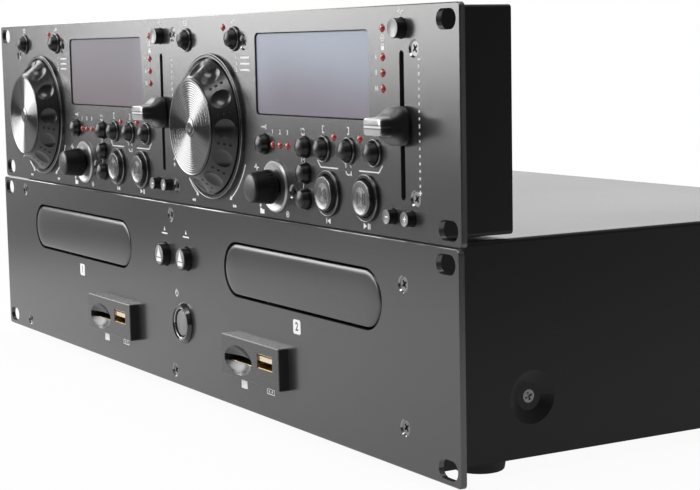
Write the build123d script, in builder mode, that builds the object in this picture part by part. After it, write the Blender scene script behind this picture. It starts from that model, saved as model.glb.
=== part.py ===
from build123d import *
import os
from math import hypot

os.makedirs("parts", exist_ok=True)

# Twin disc player for a DJ: a two-unit player with two disc trays, and on it a two-unit controller.
# Millimetres. The ground is z = 0, the width runs along X, and the fronts look towards -Y.
# The origin lies on the ground, at the middle of the whole object's width and depth.

# ---------------------------------------------------------------- driving dimensions

# rack panels, both the same size
panel_width = 482.6
panel_height = 88.1
panel_thickness = 2.3
panel_corner = 2.0
rack_edge_x, rack_edge_z = 8.75, 5.95
rack_pitch_x = panel_width - 2 * rack_edge_x
rack_pitch_z = panel_height - 2 * rack_edge_z
rack_slot_length = 12.8
rack_slot_height = 7.6

# the player's casing behind its panel
case_inset = 23.3
case_width = panel_width - 2 * case_inset
case_depth = 244.7
case_bottom_inset = 1.2
case_top_inset = 0.6
sheet = 1.2
foot_height = 6.0
foot_radius = 11.0
foot_inset = 16.0
foot_x = case_width / 2 - foot_inset
foot_front_y = 35.0
foot_rear_inset = 29.7
foot_rear_y = case_depth - foot_rear_inset

# the controller, which rests on the player
controller_gap = 0.3
controller_setback = 1.4
controller_depth = 39.2
controller_bottom_inset = 0.7
controller_top_inset = 0.5

# clearances
panel_hole_gap = 0.35
button_gap = 0.3
running_gap = 0.05
seat_gap = 0.25
button_travel = 1.0

# countersunk screws
screw_radius = 1.45
screw_head_radius = 2.8
screw_sink_radius = screw_head_radius + 0.65
screw_length = 8.0
screw_cross = 3.4
screw_cross_width = 0.9

# deck layout on the controller, measured from the panel's middle and bottom edge to the right deck
deck_pitch = 216.3
jog_x, jog_z = 40.0, 37.8
jog_radius = 30.5
jog_seat_radius = jog_radius + 2.7
jog_seat_height = 2.0
jog_rim_height = 2.4
jog_height = 10.8
jog_rim_width = 8.6
jog_plate_radius = jog_radius - jog_rim_width
jog_plate_thickness = 0.9
jog_boss_radius = 4.0
jog_dimples = 12
jog_dimple_ball = 10.0
jog_dimple_depth = 1.25
jog_shaft_radius = 3.0
display_x, display_z = 131.3, 61.85
display_width, display_height = 95.0, 35.1
display_corner = 2.5
window_thickness = 1.4
window_recess = 0.7
fader_x, fader_z = 202.5, 43.05
fader_slot_width = 3.2
fader_travel = 22.5
fader_end_gap = 3.7
fader_cap_width = 14.6
fader_cap_height = 15.2
fader_ridge_height = 7.0
fader_cap_gap = 1.2
fader_reach = 13.5
fader_ledge = 2.9
fader_ridge_rise = 4.3
fader_ear_round = 1.6
fader_end_round = 1.4
lever_width, lever_height = 1.6, 7.6
fader_slot_length = 2 * fader_travel + lever_height + fader_end_gap
knob_x, knob_z = 100.4, 14.1
knob_base_radius = 7.4
knob_front_radius = 6.3
knob_reach = 12.8
knob_ribs = 24
knob_collar_radius = 11.3
knob_collar_height = 1.2
knob_push = 0.8
knob_shaft_radius = 3.0
led_radius = 1.5
led_reach = 1.0

# what stands behind the controller's panel
board_front = 10.8
board_thickness = 1.6
switch_size = 6.0
switch_height = 4.0

# the player's front
tray_mid_x = -1.5
tray_pitch = 241.8
tray_z = 62.9
tray_opening_height = 25.0
tray_door_gap = 1.2
tray_door_recess = 0.5
tray_door_thickness = 2.6
eject_mid_x, eject_pitch, eject_z = -0.25, 24.1, 62.8
eject_radius = 5.35
eject_reach = 3.9
eject_travel = 1.5
power_x, power_z = 5.7, 31.3
power_button_radius = 6.4
power_bezel_radius = power_button_radius + 3.5
power_bezel_front_radius = power_button_radius + 2.5
power_bezel_height = 2.2
power_button_reach = 0.8
power_travel = 3.0
media_z = 24.5
media_x = {"left": -75.9, "right": 82.8}
media_width, media_height, media_reach = 55.0, 18.5, 4.7
media_body_depth = 34.0
scoop_width, scoop_height, scoop_depth = 26.6, 13.2, 3.0
card_x, card_z = -11.0, -1.1
card_slot_width, card_slot_height, card_slot_depth = 26.4, 3.0, 24.0
usb_x, usb_z = 14.5, 1.7
usb_width, usb_height, usb_depth = 14.0, 6.4, 16.0

# disc trays and drives
disc_recess_radius = 60.5
disc_recess_depth = 6.0
small_disc_radius = 40.5
small_disc_step = 1.2
tray_side_margin, tray_front_margin, tray_rear_margin = 3.5, 7.5, 31.5
tray_width = 2 * (disc_recess_radius + tray_side_margin)
tray_length = 2 * disc_recess_radius + tray_front_margin + tray_rear_margin
tray_opening_width = tray_width + 8.7
tray_thickness = 9.0
tray_under_door = 3.0
tray_held_length = 25.0
tray_travel = tray_length - tray_held_length
drive_width = tray_width + 18.0
drive_length = tray_length + 16.0
drive_wall = 1.5
drive_under_tray = 13.4
drive_above_tray = 18.0
hub_radius = 15.0
tray_slot_width = 2 * (hub_radius + 3.0)
hub_thickness = 4.0
hub_cone_radius = 7.4
hub_cone_height = 3.0
spindle_radius = 1.25
motor_radius = 13.0
motor_height = 6.0

# the player's rear
socket_reach = 9.3
inlet_width, inlet_height = 27.0, 20.0
inlet_cavity_width, inlet_cavity_height, inlet_cavity_depth = 24.0, 16.4, 14.0

# ---------------------------------------------------------------- places worked out from them

panel_z = foot_height - case_bottom_inset
controller_z = panel_z + panel_height + controller_gap
front_reach = fader_reach - controller_setback
rear_reach = case_depth + socket_reach
face_y = (front_reach - rear_reach) / 2
controller_y = face_y + controller_setback
case_top_z = panel_z + panel_height - case_top_inset
rear_y = face_y + case_depth
sides = {"left": -1, "right": 1}


def face_plane(y, z=0.0):
    """Upright plane at y, looking towards -Y, with its origin at height z."""
    return Plane(origin=(0, y, z), x_dir=(1, 0, 0), z_dir=(0, -1, 0))


def rear_plane(y, z=0.0):
    """Upright plane at y, looking towards +Y, with local x running towards -X."""
    return Plane(origin=(0, y, z), x_dir=(-1, 0, 0), z_dir=(0, 1, 0))


player_face = face_plane(face_y, panel_z)
controller_face = face_plane(controller_y, controller_z)


def deck_x(side, x):
    """Place x of the right deck, or the same place on the left deck."""
    return x if side == "right" else x - deck_pitch


def turn(face, x, z, outline):
    """Solid turned about the line that leaves the face at x, z. The outline is (radius, height)."""
    origin = face.from_local_coords((x, z, 0))
    spin_plane = Plane(origin=origin, x_dir=(1, 0, 0), z_dir=(0, 0, -1))
    with BuildSketch(spin_plane) as profile:
        with BuildLine():
            Polyline(*outline, close=True)
        make_face()
    revolve(profile.sketch, axis=Axis(origin, (0, -1, 0)))


def save(builder, name):
    """Label a finished piece and write it under its name."""
    builder.part.label = name
    export_step(builder.part, f"parts/{name}.step")


# ---------------------------------------------------------------- the controller's buttons

# A dome button has a skirt that narrows to a shallow dome; a disc button is flat with a raised rim;
# a dished button is a straight pin with a hollow front.
def round_kind(radius, gap, reach, bezel=None, **front):
    """Sizes of one kind of button. The gap is the one in its hole; a bezel is (radius, height)."""
    return {"radius": radius, "hole": radius + gap, "reach": reach, "bezel": bezel, **front}


dome_button = round_kind(4.3, panel_hole_gap, 4.3, shoulder=0.8, rise=3.4)
ringed_button = round_kind(4.15, button_gap, 4.6, (5.5, 1.2), shoulder=0.85, rise=3.6)
disc_button = round_kind(7.3, button_gap, 3.0, (9.4, 1.5), shoulder=0.4, rise=2.8)
pin_button = round_kind(2.85, panel_hole_gap, 3.6, rim=0.5, dish=0.35)
pitch_button = round_kind(3.75, panel_hole_gap, 3.9, rim=0.5, dish=0.6)

loop_x, loop_pitch, row_z = 142.6, 19.8, 31.9
menu_x, menu_pitch = 127.1, 10.7
pair_offset, pair_z = 24.6, 77.2
buttons = {
    "mode_button": (jog_x - pair_offset, pair_z, ringed_button),
    "program_button": (jog_x + pair_offset, pair_z, ringed_button),
    "source_button": (91.3, row_z, dome_button),
    "repeat_button": (menu_x, row_z, dome_button),
    "time_button": (menu_x, row_z - menu_pitch, dome_button),
    "single_button": (menu_x, row_z - 2 * menu_pitch, dome_button),
    "loop_in_button": (loop_x, row_z, ringed_button),
    "loop_out_button": (loop_x + loop_pitch, row_z, ringed_button),
    "reloop_button": (loop_x + 2 * loop_pitch, row_z, ringed_button),
    "cue_button": (145.9, 14.1, disc_button),
    "play_button": (175.8, 14.1, disc_button),
    "pitch_button": (fader_x, 79.4, pitch_button),
    "minus_button": (195.3, 8.4, pin_button),
    "plus_button": (208.2, 8.4, pin_button),
}

flange_lip = 0.55
flange_thickness = 1.0
stem_radius = 1.5
stem_entry = 0.9
switch_end_gap = 0.3
switch_front = board_front - switch_height
flange_front = panel_thickness + seat_gap


def button_outline(kind):
    """Half section of a button in (radius, height above the panel), from its stem to its front."""
    flange = kind["hole"] + flange_lip
    flange_back = -(flange_front + flange_thickness)
    stem_end = -(switch_front + stem_entry)
    back = [(0, stem_end), (stem_radius, stem_end), (stem_radius, flange_back), (flange, flange_back),
            (flange, -flange_front), (kind["radius"], -flange_front)]
    if "shoulder" in kind:
        front = [(kind["radius"], kind["rise"] * 0.35), (kind["radius"] - kind["shoulder"], kind["rise"])]
    else:
        front = [(kind["radius"], kind["reach"])]
    return back + front


def add_dome(face, x, z, kind):
    """Shallow dome on the shoulder of a button, to its full reach."""
    crown = kind["reach"] - kind["rise"]
    half = kind["radius"] - kind["shoulder"]
    origin = face.from_local_coords((x, z, kind["rise"]))
    with BuildSketch(Plane(origin=origin, x_dir=(1, 0, 0), z_dir=(0, 0, -1))) as profile:
        with BuildLine():
            Line((0, 0), (half, 0))
            RadiusArc((half, 0), (0, crown), -(half ** 2 + crown ** 2) / (2 * crown))
            Line((0, crown), (0, 0))
        make_face()
    revolve(profile.sketch, axis=Axis(origin, (0, -1, 0)))


def make_button(face, x, z, kind, name):
    """One button, whole, with its flange behind the panel and its stem in the switch."""
    with BuildPart() as button:
        outline = button_outline(kind)
        turn(face, x, z, outline + [(0, outline[-1][1])])
        if "shoulder" in kind:
            add_dome(face, x, z, kind)
        else:
            rim = kind["radius"] - kind["rim"]
            origin = face.from_local_coords((x, z, kind["reach"] - kind["dish"]))
            with BuildSketch(Plane(origin=origin, x_dir=(1, 0, 0), z_dir=(0, -1, 0))):
                Circle(rim)
            extrude(amount=kind["dish"], taper=-20, mode=Mode.SUBTRACT)
    save(button, name)


for side in sides:
    for name, (x, z, kind) in buttons.items():
        make_button(controller_face, deck_x(side, x), z, kind, f"{name}_{side}")

# ---------------------------------------------------------------- jog wheels

jog_under = jog_rim_height - 1.0
rim_run = jog_radius - jog_plate_radius - 0.4
rim_rise = jog_height - jog_rim_height
rim_length = hypot(rim_run, rim_rise)
jog_bush_radius = jog_shaft_radius + 3.0
jog_hub_radius = 9.0
encoder_radius = 10.5
encoder_depth = 6.0


def on_rim(share, above):
    """Radius and height of a point on the sloping rim, share of the way up and above its surface."""
    radius = jog_radius - rim_run * share + above * rim_rise / rim_length
    height = jog_rim_height + rim_rise * share + above * rim_run / rim_length
    return radius, height


def cut_rim_balls(face, x, z, share, above, ball, start):
    """Hollows round the sloping rim, cut by balls whose centres stand above it."""
    radius, height = on_rim(share, above)
    centre = Plane(origin=face.from_local_coords((x, z, height)), x_dir=(1, 0, 0), z_dir=(0, -1, 0))
    with Locations(centre.location):
        with PolarLocations(radius, jog_dimples, start_angle=start):
            Sphere(ball, mode=Mode.SUBTRACT)


for side in sides:
    x, z = deck_x(side, jog_x), jog_z
    plate_bed = jog_height - jog_plate_thickness
    with BuildPart() as jog_wheel:
        turn(controller_face, x, z, [
            (0, jog_under), (jog_radius - 0.3, jog_under), (jog_radius, jog_under + 0.3),
            (jog_radius, jog_rim_height), (jog_plate_radius + 0.4, jog_height),
            (jog_plate_radius, jog_height), (jog_plate_radius, plate_bed), (0, plate_bed)])
        shaft_end = -(board_front + board_thickness + 4.0)
        turn(controller_face, x, z, [
            (0, jog_under), (jog_hub_radius, jog_under), (jog_hub_radius, -panel_thickness - 1.0),
            (jog_shaft_radius, -panel_thickness - 1.0), (jog_shaft_radius, -encoder_depth),
            (encoder_radius, -encoder_depth), (encoder_radius, -encoder_depth - 0.8),
            (jog_shaft_radius, -encoder_depth - 0.8), (jog_shaft_radius, shaft_end), (0, shaft_end)])
        cut_rim_balls(controller_face, x, z, 0.5, jog_dimple_ball - jog_dimple_depth, jog_dimple_ball, 0)
        for share in (0.26, 0.5, 0.74):
            cut_rim_balls(controller_face, x, z, share, 0.25, 0.75, 180 / jog_dimples)
    with BuildPart() as jog_plate:
        turn(controller_face, x, z, [
            (0, plate_bed), (jog_plate_radius, plate_bed), (jog_plate_radius, jog_height + 0.2),
            (jog_plate_radius - 0.5, jog_height + 0.6), (jog_plate_radius - 1.2, jog_height + 0.3),
            (jog_boss_radius, jog_height), (jog_boss_radius - 0.4, jog_height + 0.5), (0, jog_height + 0.6)])
    wheel = Compound(label=f"jog_wheel_{side}", children=[*jog_wheel.part.solids(), *jog_plate.part.solids()])
    export_step(wheel, f"parts/jog_wheel_{side}.step")

# ---------------------------------------------------------------- pitch faders

lever_end = board_front - 3.0
half_cap = fader_cap_height / 2
half_ridge = fader_ridge_height / 2

for side in sides:
    x = deck_x(side, fader_x)
    start = controller_face.from_local_coords((x - fader_cap_width / 2, fader_z, 0))
    # local x runs up the panel, local y leaves it, and the cap is drawn out across its width
    section = Plane(origin=start, x_dir=(0, 0, 1), z_dir=(1, 0, 0))
    with BuildPart() as fader:
        with BuildSketch(section):
            with BuildLine():
                foot = (half_cap, fader_cap_gap)
                ledge = (half_cap, fader_cap_gap + fader_ledge)
                waist = (half_ridge + 1.4, fader_cap_gap + fader_ledge + 1.5)
                neck = (half_ridge, fader_reach - fader_ridge_rise)
                tip = (half_ridge - 0.2, fader_reach)
                Line(foot, ledge)
                ThreePointArc(ledge, waist, neck)
                Line(neck, tip)
                Line(tip, (0, fader_reach))
                mirror(about=Plane.YZ)
                Line(foot, (-half_cap, fader_cap_gap))
            make_face()
        extrude(amount=fader_cap_width)
        ear_y = controller_face.origin.Y - fader_cap_gap - fader_ledge
        along = fader.edges().filter_by(Axis.X)
        ears = along.filter_by(lambda edge: abs((edge @ 0.5).Y - ear_y) < 0.01)
        fillet(ears, fader_ear_round)
        round_y = controller_face.origin.Y - fader_cap_gap - 0.05
        cap_ends = fader.faces().filter_by(Axis.X)
        fillet(cap_ends.edges().filter_by(lambda edge: (edge @ 0.5).Y < round_y), fader_end_round)
        with Locations(controller_face.location * Location((x, fader_z, fader_cap_gap))):
            Box(lever_width, lever_height, fader_cap_gap + lever_end,
                align=(Align.CENTER, Align.CENTER, Align.MAX))
    save(fader, f"pitch_fader_{side}")

# ---------------------------------------------------------------- track knobs and their plungers

knob_under = knob_collar_height + knob_push + 0.4
knob_cap_rise = 0.9
shaft_inner = board_front - 4.0
plunger_length = 2.4
plunger_gap = 0.1

for side in sides:
    x, z = deck_x(side, knob_x), knob_z
    with BuildPart() as knob:
        turn(controller_face, x, z, [
            (0, knob_under), (knob_base_radius - 0.4, knob_under), (knob_base_radius, knob_under + 0.4),
            (knob_base_radius, knob_under + 1.6), (knob_front_radius, knob_reach - knob_cap_rise),
            (knob_front_radius - 0.6, knob_reach - 0.3), (knob_front_radius - 2.4, knob_reach),
            (0, knob_reach + 0.1)])
        rib_plane = Plane(origin=controller_face.from_local_coords((x, z, knob_under + 1.8)),
                          x_dir=(1, 0, 0), z_dir=(0, -1, 0))
        with BuildSketch(rib_plane):
            with PolarLocations(knob_base_radius + 0.15, knob_ribs):
                Circle(0.55)
        extrude(amount=knob_reach - knob_cap_rise - knob_under - 2.4,
                taper=0, mode=Mode.SUBTRACT)
        turn(controller_face, x, z, [(0, knob_under), (knob_shaft_radius, knob_under),
                                     (knob_shaft_radius, -shaft_inner), (0, -shaft_inner)])
    save(knob, f"track_knob_{side}")
    plunger_front = shaft_inner + plunger_gap
    with BuildPart() as plunger:
        turn(controller_face, x, z, [
            (0, -plunger_front), (knob_shaft_radius - 0.1, -plunger_front),
            (knob_shaft_radius - 0.1, -plunger_front - plunger_length), (0, -plunger_front - plunger_length)])
    save(plunger, f"track_plunger_{side}")

# ---------------------------------------------------------------- controller panel and what it carries

leds = {
    "program": (53.9, 82.3),
    "source_1": (98.5, row_z), "source_2": (105.15, row_z), "source_3": (111.8, row_z),
    "loop_in": (150.7, 37.0), "loop_out": (171.0, 37.0),
    "pitch": (189.1, 79.6), "range_1": (189.1, 68.7), "range_2": (189.1, 62.7), "range_3": (189.1, 56.7),
}
led_places = [(deck_x(side, x), z) for side in sides for x, z in leds.values()]
edge_screw_x = case_width / 2 - 7.0
edge_screw_rows = (71.8, 16.0)
edge_screws = [(hand * edge_screw_x, z) for hand in (-1, 1) for z in edge_screw_rows]
edge_screws += [(0.0, panel_height - 8.0), (0.0, 8.4)]
deck_screws = [(73.2, 75.5), (115.9, 12.5)]
post_screws = [(deck_x(side, x), z) for side in sides for x, z in deck_screws]
controller_screw_places = edge_screws + post_screws
rear_screw_places = [(hand * (case_width / 2 - 9.0), 17.0) for hand in (-1, 1)]
rear_head_radius, rear_head_height = 3.2, 1.9
jog_hole_radius = encoder_radius + 1.0
knob_hole_radius = knob_shaft_radius + 1.6


def rack_panel():
    """Outline of a rack panel with its four slots, drawn in the open sketch."""
    with Locations((0, panel_height / 2)):
        RectangleRounded(panel_width, panel_height, panel_corner)
        with GridLocations(rack_pitch_x, rack_pitch_z, 2, 2):
            SlotOverall(rack_slot_length, rack_slot_height, mode=Mode.SUBTRACT)


with BuildPart(controller_face) as controller_panel:
    with BuildSketch(controller_face):
        rack_panel()
        for side in sides:
            for x, z, kind in buttons.values():
                sleeve = 0.5 if kind["bezel"] else 0.0
                with Locations((deck_x(side, x), z)):
                    Circle(kind["hole"] + sleeve, mode=Mode.SUBTRACT)
            with Locations((deck_x(side, jog_x), jog_z)):
                Circle(jog_hole_radius, mode=Mode.SUBTRACT)
            with Locations((deck_x(side, knob_x), knob_z)):
                Circle(knob_hole_radius, mode=Mode.SUBTRACT)
            with Locations((deck_x(side, display_x), display_z)):
                RectangleRounded(display_width, display_height, display_corner, mode=Mode.SUBTRACT)
            with Locations((deck_x(side, fader_x), fader_z)):
                SlotOverall(fader_slot_length, fader_slot_width, rotation=90, mode=Mode.SUBTRACT)
        with Locations(*led_places):
            Circle(led_radius + 0.15, mode=Mode.SUBTRACT)
    extrude(amount=-panel_thickness)
    front_edge = controller_panel.faces().sort_by(Axis.Y)[0].outer_wire().edges()
    chamfer(front_edge, 0.4)
    with Locations(*controller_screw_places):
        CounterSinkHole(screw_radius + 0.15, screw_sink_radius, panel_thickness, 90)
save(controller_panel, "controller_panel")

with BuildPart(controller_face) as button_bezels:
    for side in sides:
        for x, z, kind in buttons.values():
            if kind["bezel"]:
                outer, height = kind["bezel"]
                hole = kind["hole"]
                turn(controller_face, deck_x(side, x), z, [
                    (hole, -panel_thickness), (hole + 0.5, -panel_thickness), (hole + 0.5, 0), (outer, 0),
                    (outer, height - 0.6), (outer - 0.5, height), (hole + 0.35, height),
                    (hole, height - 0.35)])
        x, z = deck_x(side, knob_x), knob_z
        turn(controller_face, x, z, [
            (knob_hole_radius, 0), (knob_collar_radius, 0), (knob_collar_radius, 0.5),
            (knob_collar_radius - 0.5, knob_collar_height), (knob_collar_radius - 1.1, knob_collar_height),
            (knob_hole_radius, knob_collar_height - 0.5)])
        x, z = deck_x(side, jog_x), jog_z
        turn(controller_face, x, z, [
            (jog_hole_radius, 0), (jog_seat_radius, 0), (jog_seat_radius - 0.3, jog_seat_height - 0.8),
            (jog_seat_radius - 1.0, jog_seat_height), (jog_radius + 0.9, jog_seat_height),
            (jog_radius + 0.5, jog_seat_height - 0.4), (jog_radius + 0.5, 0.8), (jog_hole_radius, 0.8)])
save(button_bezels, "button_bezels")

with BuildPart(controller_face) as indicator_leds:
    for x, z in led_places:
        turn(controller_face, x, z, [
            (0, led_reach), (led_radius * 0.6, led_reach - 0.25), (led_radius * 0.9, led_reach - 0.7),
            (led_radius, 0), (led_radius, -board_front), (0, -board_front)])
save(indicator_leds, "indicator_leds")

window_gap = 0.3
with BuildPart() as display_windows:
    with BuildSketch(face_plane(controller_y + window_recess, controller_z)):
        for side in sides:
            with Locations((deck_x(side, display_x), display_z)):
                RectangleRounded(display_width - 2 * window_gap, display_height - 2 * window_gap,
                                 display_corner - window_gap)
    extrude(amount=-window_thickness)
    chamfer(display_windows.faces().sort_by(Axis.Y)[0:2].edges(), 0.25)
save(display_windows, "display_windows")


def add_screws(places, length, head_radius=screw_head_radius, sunk=screw_sink_radius - screw_head_radius):
    """Countersunk screws at places of the open workplane, with a cross cut into each head."""
    head_height = head_radius - screw_radius
    for place in places:
        with Locations(Location((*place, -sunk))):
            Cone(screw_radius, head_radius, head_height, align=(Align.CENTER, Align.CENTER, Align.MAX))
        with Locations(Location((*place, -sunk - head_height))):
            Cylinder(screw_radius, length, align=(Align.CENTER, Align.CENTER, Align.MAX))
    for place in places:
        with Locations(Location((*place, -sunk))):
            for turned in (35, 125):
                Box(screw_cross, screw_cross_width, 2 * 0.9, rotation=(0, 0, turned), mode=Mode.SUBTRACT)


with BuildPart(controller_face) as controller_screws:
    add_screws(controller_screw_places, screw_length - 2.0)
    # two dome-headed screws in the back of the case
    for x, z in rear_screw_places:
        crown = -controller_depth - rear_head_height
        turn(controller_face, x, z, [
            (0, crown), (rear_head_radius * 0.6, crown), (rear_head_radius, -controller_depth - 0.5),
            (rear_head_radius, -controller_depth), (screw_radius, -controller_depth),
            (screw_radius, screw_length - controller_depth), (0, screw_length - controller_depth)])
save(controller_screws, "controller_screws")

# ---------------------------------------------------------------- controller case and board

controller_case_height = panel_height - controller_bottom_inset - controller_top_inset
controller_case_mid = controller_bottom_inset + controller_case_height / 2
case_inner_bottom = controller_bottom_inset + sheet
case_inner_top = panel_height - controller_top_inset - sheet
tab_height, tab_overlap, tab_thickness = 7.0, 3.2, 2.0
post_radius = 3.6
link_socket_radius = 7.0
link_socket_places = [(-150.0, 30.0), (150.0, 30.0)]

controller_back = face_plane(controller_y + panel_thickness, controller_z)

with BuildPart(controller_back) as controller_case:
    with BuildSketch(controller_back):
        with Locations((0, controller_case_mid)):
            Rectangle(case_width, controller_case_height)
    extrude(amount=-(controller_depth - panel_thickness))
    fillet(controller_case.edges().filter_by(Axis.Y), 1.5)
    offset(amount=-sheet, openings=controller_case.faces().sort_by(Axis.Y)[0])
    # tabs that the edge screws pass, folded in from the walls
    with BuildSketch(controller_back):
        for x, z in edge_screws:
            if x:
                wall_x, tab_x = case_width / 2 - sheet, abs(x) - tab_overlap
                with Locations(((wall_x + tab_x) / 2 * (1 if x > 0 else -1), z)):
                    Rectangle(wall_x - tab_x, tab_height)
            else:
                upper = z > panel_height / 2
                wall_z = case_inner_top if upper else case_inner_bottom
                tab_z = z - tab_overlap if upper else z + tab_overlap
                with Locations((x, (wall_z + tab_z) / 2)):
                    Rectangle(tab_height, abs(wall_z - tab_z))
    extrude(amount=-tab_thickness)
    with Locations(*edge_screws):
        Hole(screw_radius, tab_thickness)
    case_back = panel_thickness - controller_depth
    with Locations(*[Location((x, z, case_back)) for x, z in link_socket_places]):
        Cylinder(link_socket_radius + 0.2, 4 * sheet, mode=Mode.SUBTRACT)
    with Locations(*[Location((x, z, case_back)) for x, z in rear_screw_places]):
        Cylinder(screw_radius + 0.15, 4 * sheet, mode=Mode.SUBTRACT)
save(controller_case, "controller_case")

board_mid = panel_height / 2
board_margin_x, board_margin_z = 9.0, 6.0
bush_outer = knob_shaft_radius + 1.2
pot_width, pot_depth = 8.0, board_front - panel_thickness - 1.0

board_face = face_plane(controller_y + board_front, controller_z)

with BuildPart(board_face) as controller_board:
    with BuildSketch(board_face):
        with Locations((0, board_mid)):
            Rectangle(case_width - 2 * board_margin_x - 12.0, panel_height - 2 * board_margin_z + 6.0)
        for side in sides:
            with Locations((deck_x(side, jog_x), jog_z)):
                Circle(jog_shaft_radius + 0.6, mode=Mode.SUBTRACT)
    extrude(amount=-board_thickness)
    # switch bodies, each with a bore for its button's stem
    for side in sides:
        for x, z, kind in buttons.values():
            with Locations(Location((deck_x(side, x), z, 0))):
                Box(switch_size, switch_size, switch_height, align=(Align.CENTER, Align.CENTER, Align.MIN))
    for side in sides:
        for x, z, kind in buttons.values():
            with Locations(Location((deck_x(side, x), z, switch_height))):
                Cylinder(stem_radius + button_gap, 2 * (stem_entry + button_travel + switch_end_gap),
                         mode=Mode.SUBTRACT)
    for side in sides:
        # slide potentiometer with the channel its lever runs in
        x = deck_x(side, fader_x)
        channel_length = 2 * fader_travel + lever_height + 1.0
        with Locations(Location((x, fader_z, 0))):
            Box(pot_width, channel_length + 6.0, pot_depth, align=(Align.CENTER, Align.CENTER, Align.MIN))
        with Locations(Location((x, fader_z, 2.4))):
            Box(lever_width + 0.8, channel_length, pot_depth, align=(Align.CENTER, Align.CENTER, Align.MIN),
                mode=Mode.SUBTRACT)
        # rotary encoder with the bush of the track knob
        bush_front = board_front - panel_thickness + 1.0
        with Locations(Location((deck_x(side, knob_x), knob_z, 0))):
            Box(12.0, 12.0, 5.0, align=(Align.CENTER, Align.CENTER, Align.MIN))
            Cylinder(bush_outer, bush_front, align=(Align.CENTER, Align.CENTER, Align.MIN))
            Cylinder(knob_shaft_radius + running_gap, bush_front,
                     align=(Align.CENTER, Align.CENTER, Align.MIN), mode=Mode.SUBTRACT)
        # bush of the jog wheel, behind the board
        with Locations(Location((deck_x(side, jog_x), jog_z, -board_thickness))):
            Cylinder(jog_bush_radius, 5.0, align=(Align.CENTER, Align.CENTER, Align.MAX))
            Cylinder(jog_shaft_radius + running_gap, 5.0, align=(Align.CENTER, Align.CENTER, Align.MAX),
                     mode=Mode.SUBTRACT)
        # display cell on its light box
        cell_front = board_front - window_recess - window_thickness - 0.1
        with Locations(Location((deck_x(side, display_x), display_z, 0))):
            Box(display_width - 3.0, display_height - 3.0, cell_front,
                align=(Align.CENTER, Align.CENTER, Align.MIN))
    # posts that carry the board behind the panel
    for x, z in post_screws:
        with Locations(Location((x, z, 0))):
            Cylinder(post_radius, board_front - panel_thickness, align=(Align.CENTER, Align.CENTER, Align.MIN))
            Cylinder(screw_radius, board_front - panel_thickness,
                     align=(Align.CENTER, Align.CENTER, Align.MIN), mode=Mode.SUBTRACT)
    # link sockets that leave through the back of the case
    for x, z in link_socket_places:
        with Locations(Location((x, z, -board_thickness))):
            Box(14.0, 14.0, 12.0, align=(Align.CENTER, Align.CENTER, Align.MAX))
            Cylinder(link_socket_radius, controller_depth - board_front - board_thickness + 1.0,
                     align=(Align.CENTER, Align.CENTER, Align.MAX))
save(controller_board, "controller_board")

# ---------------------------------------------------------------- player panel

tray_x = {side: tray_mid_x + sign * tray_pitch / 2 for side, sign in sides.items()}
eject_x = {side: eject_mid_x + sign * eject_pitch / 2 for side, sign in sides.items()}
left_screw_x, right_screw_x = 12.0 - case_width / 2, case_width / 2 - 14.7
top_screw_z = panel_height - 5.6
player_screw_places = [(left_screw_x, top_screw_z - 0.1), (left_screw_x, 6.5), (right_screw_x, 71.7),
                       (right_screw_x, 16.4), (-5.2, top_screw_z), (-5.2, 7.0)]
media_hole_width, media_hole_height = media_width - 4.0, media_height - 4.0
power_hole_radius = power_button_radius + 1.4

with BuildPart(player_face) as player_panel:
    with BuildSketch(player_face):
        rack_panel()
        for side in sides:
            with Locations((tray_x[side], tray_z)):
                SlotOverall(tray_opening_width, tray_opening_height, mode=Mode.SUBTRACT)
            with Locations((eject_x[side], eject_z)):
                Circle(eject_radius + panel_hole_gap + 0.15, mode=Mode.SUBTRACT)
            with Locations((media_x[side], media_z)):
                Rectangle(media_hole_width, media_hole_height, mode=Mode.SUBTRACT)
        with Locations((power_x, power_z)):
            Circle(power_hole_radius, mode=Mode.SUBTRACT)
    extrude(amount=-panel_thickness)
    front_edge = player_panel.faces().sort_by(Axis.Y)[0].outer_wire().edges()
    chamfer(front_edge, 0.4)
    with Locations(*player_screw_places):
        CounterSinkHole(screw_radius + 0.15, screw_sink_radius, panel_thickness, 90)
save(player_panel, "player_panel")

with BuildPart() as power_bezel:
    bore = power_button_radius + button_gap
    turn(player_face, power_x, power_z, [
        (bore, -panel_thickness - 2.0), (power_hole_radius, -panel_thickness - 2.0), (power_hole_radius, 0),
        (power_bezel_radius, 0), (power_bezel_radius, 0.5), (power_bezel_front_radius, power_bezel_height),
        (power_bezel_front_radius - 0.9, power_bezel_height), (bore, power_bezel_height - 1.2)])
save(power_bezel, "power_bezel")

# front switch board of the player, held behind the panel between the two drives
front_board_y = 14.0
eject_switch_height = 4.5
power_switch_size, power_switch_height = 9.0, 6.4
with BuildPart() as power_button:
    reach = power_button_reach
    stem_end = power_switch_height - stem_entry - front_board_y
    turn(player_face, power_x, power_z, [
        (0, reach), (power_button_radius - 0.4, reach), (power_button_radius, reach - 0.4),
        (power_button_radius, -panel_thickness - 1.0), (stem_radius, -panel_thickness - 1.0),
        (stem_radius, stem_end), (0, stem_end)])
save(power_button, "power_button")

eject_flange = eject_radius + panel_hole_gap + 0.8
for side in sides:
    with BuildPart() as eject_button:
        rim = eject_radius - 0.6
        stem_end = eject_switch_height - stem_entry - front_board_y
        turn(player_face, eject_x[side], eject_z, [
            (0, stem_end), (stem_radius, stem_end),
            (stem_radius, -flange_front - flange_thickness), (eject_flange, -flange_front - flange_thickness),
            (eject_flange, -flange_front), (eject_radius, -flange_front), (eject_radius, eject_reach - 0.3),
            (eject_radius - 0.3, eject_reach), (rim, eject_reach), (rim - 0.2, eject_reach - 0.4),
            (0, eject_reach - 0.4)])
    save(eject_button, f"eject_button_{side}")

# ---------------------------------------------------------------- media ports

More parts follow.
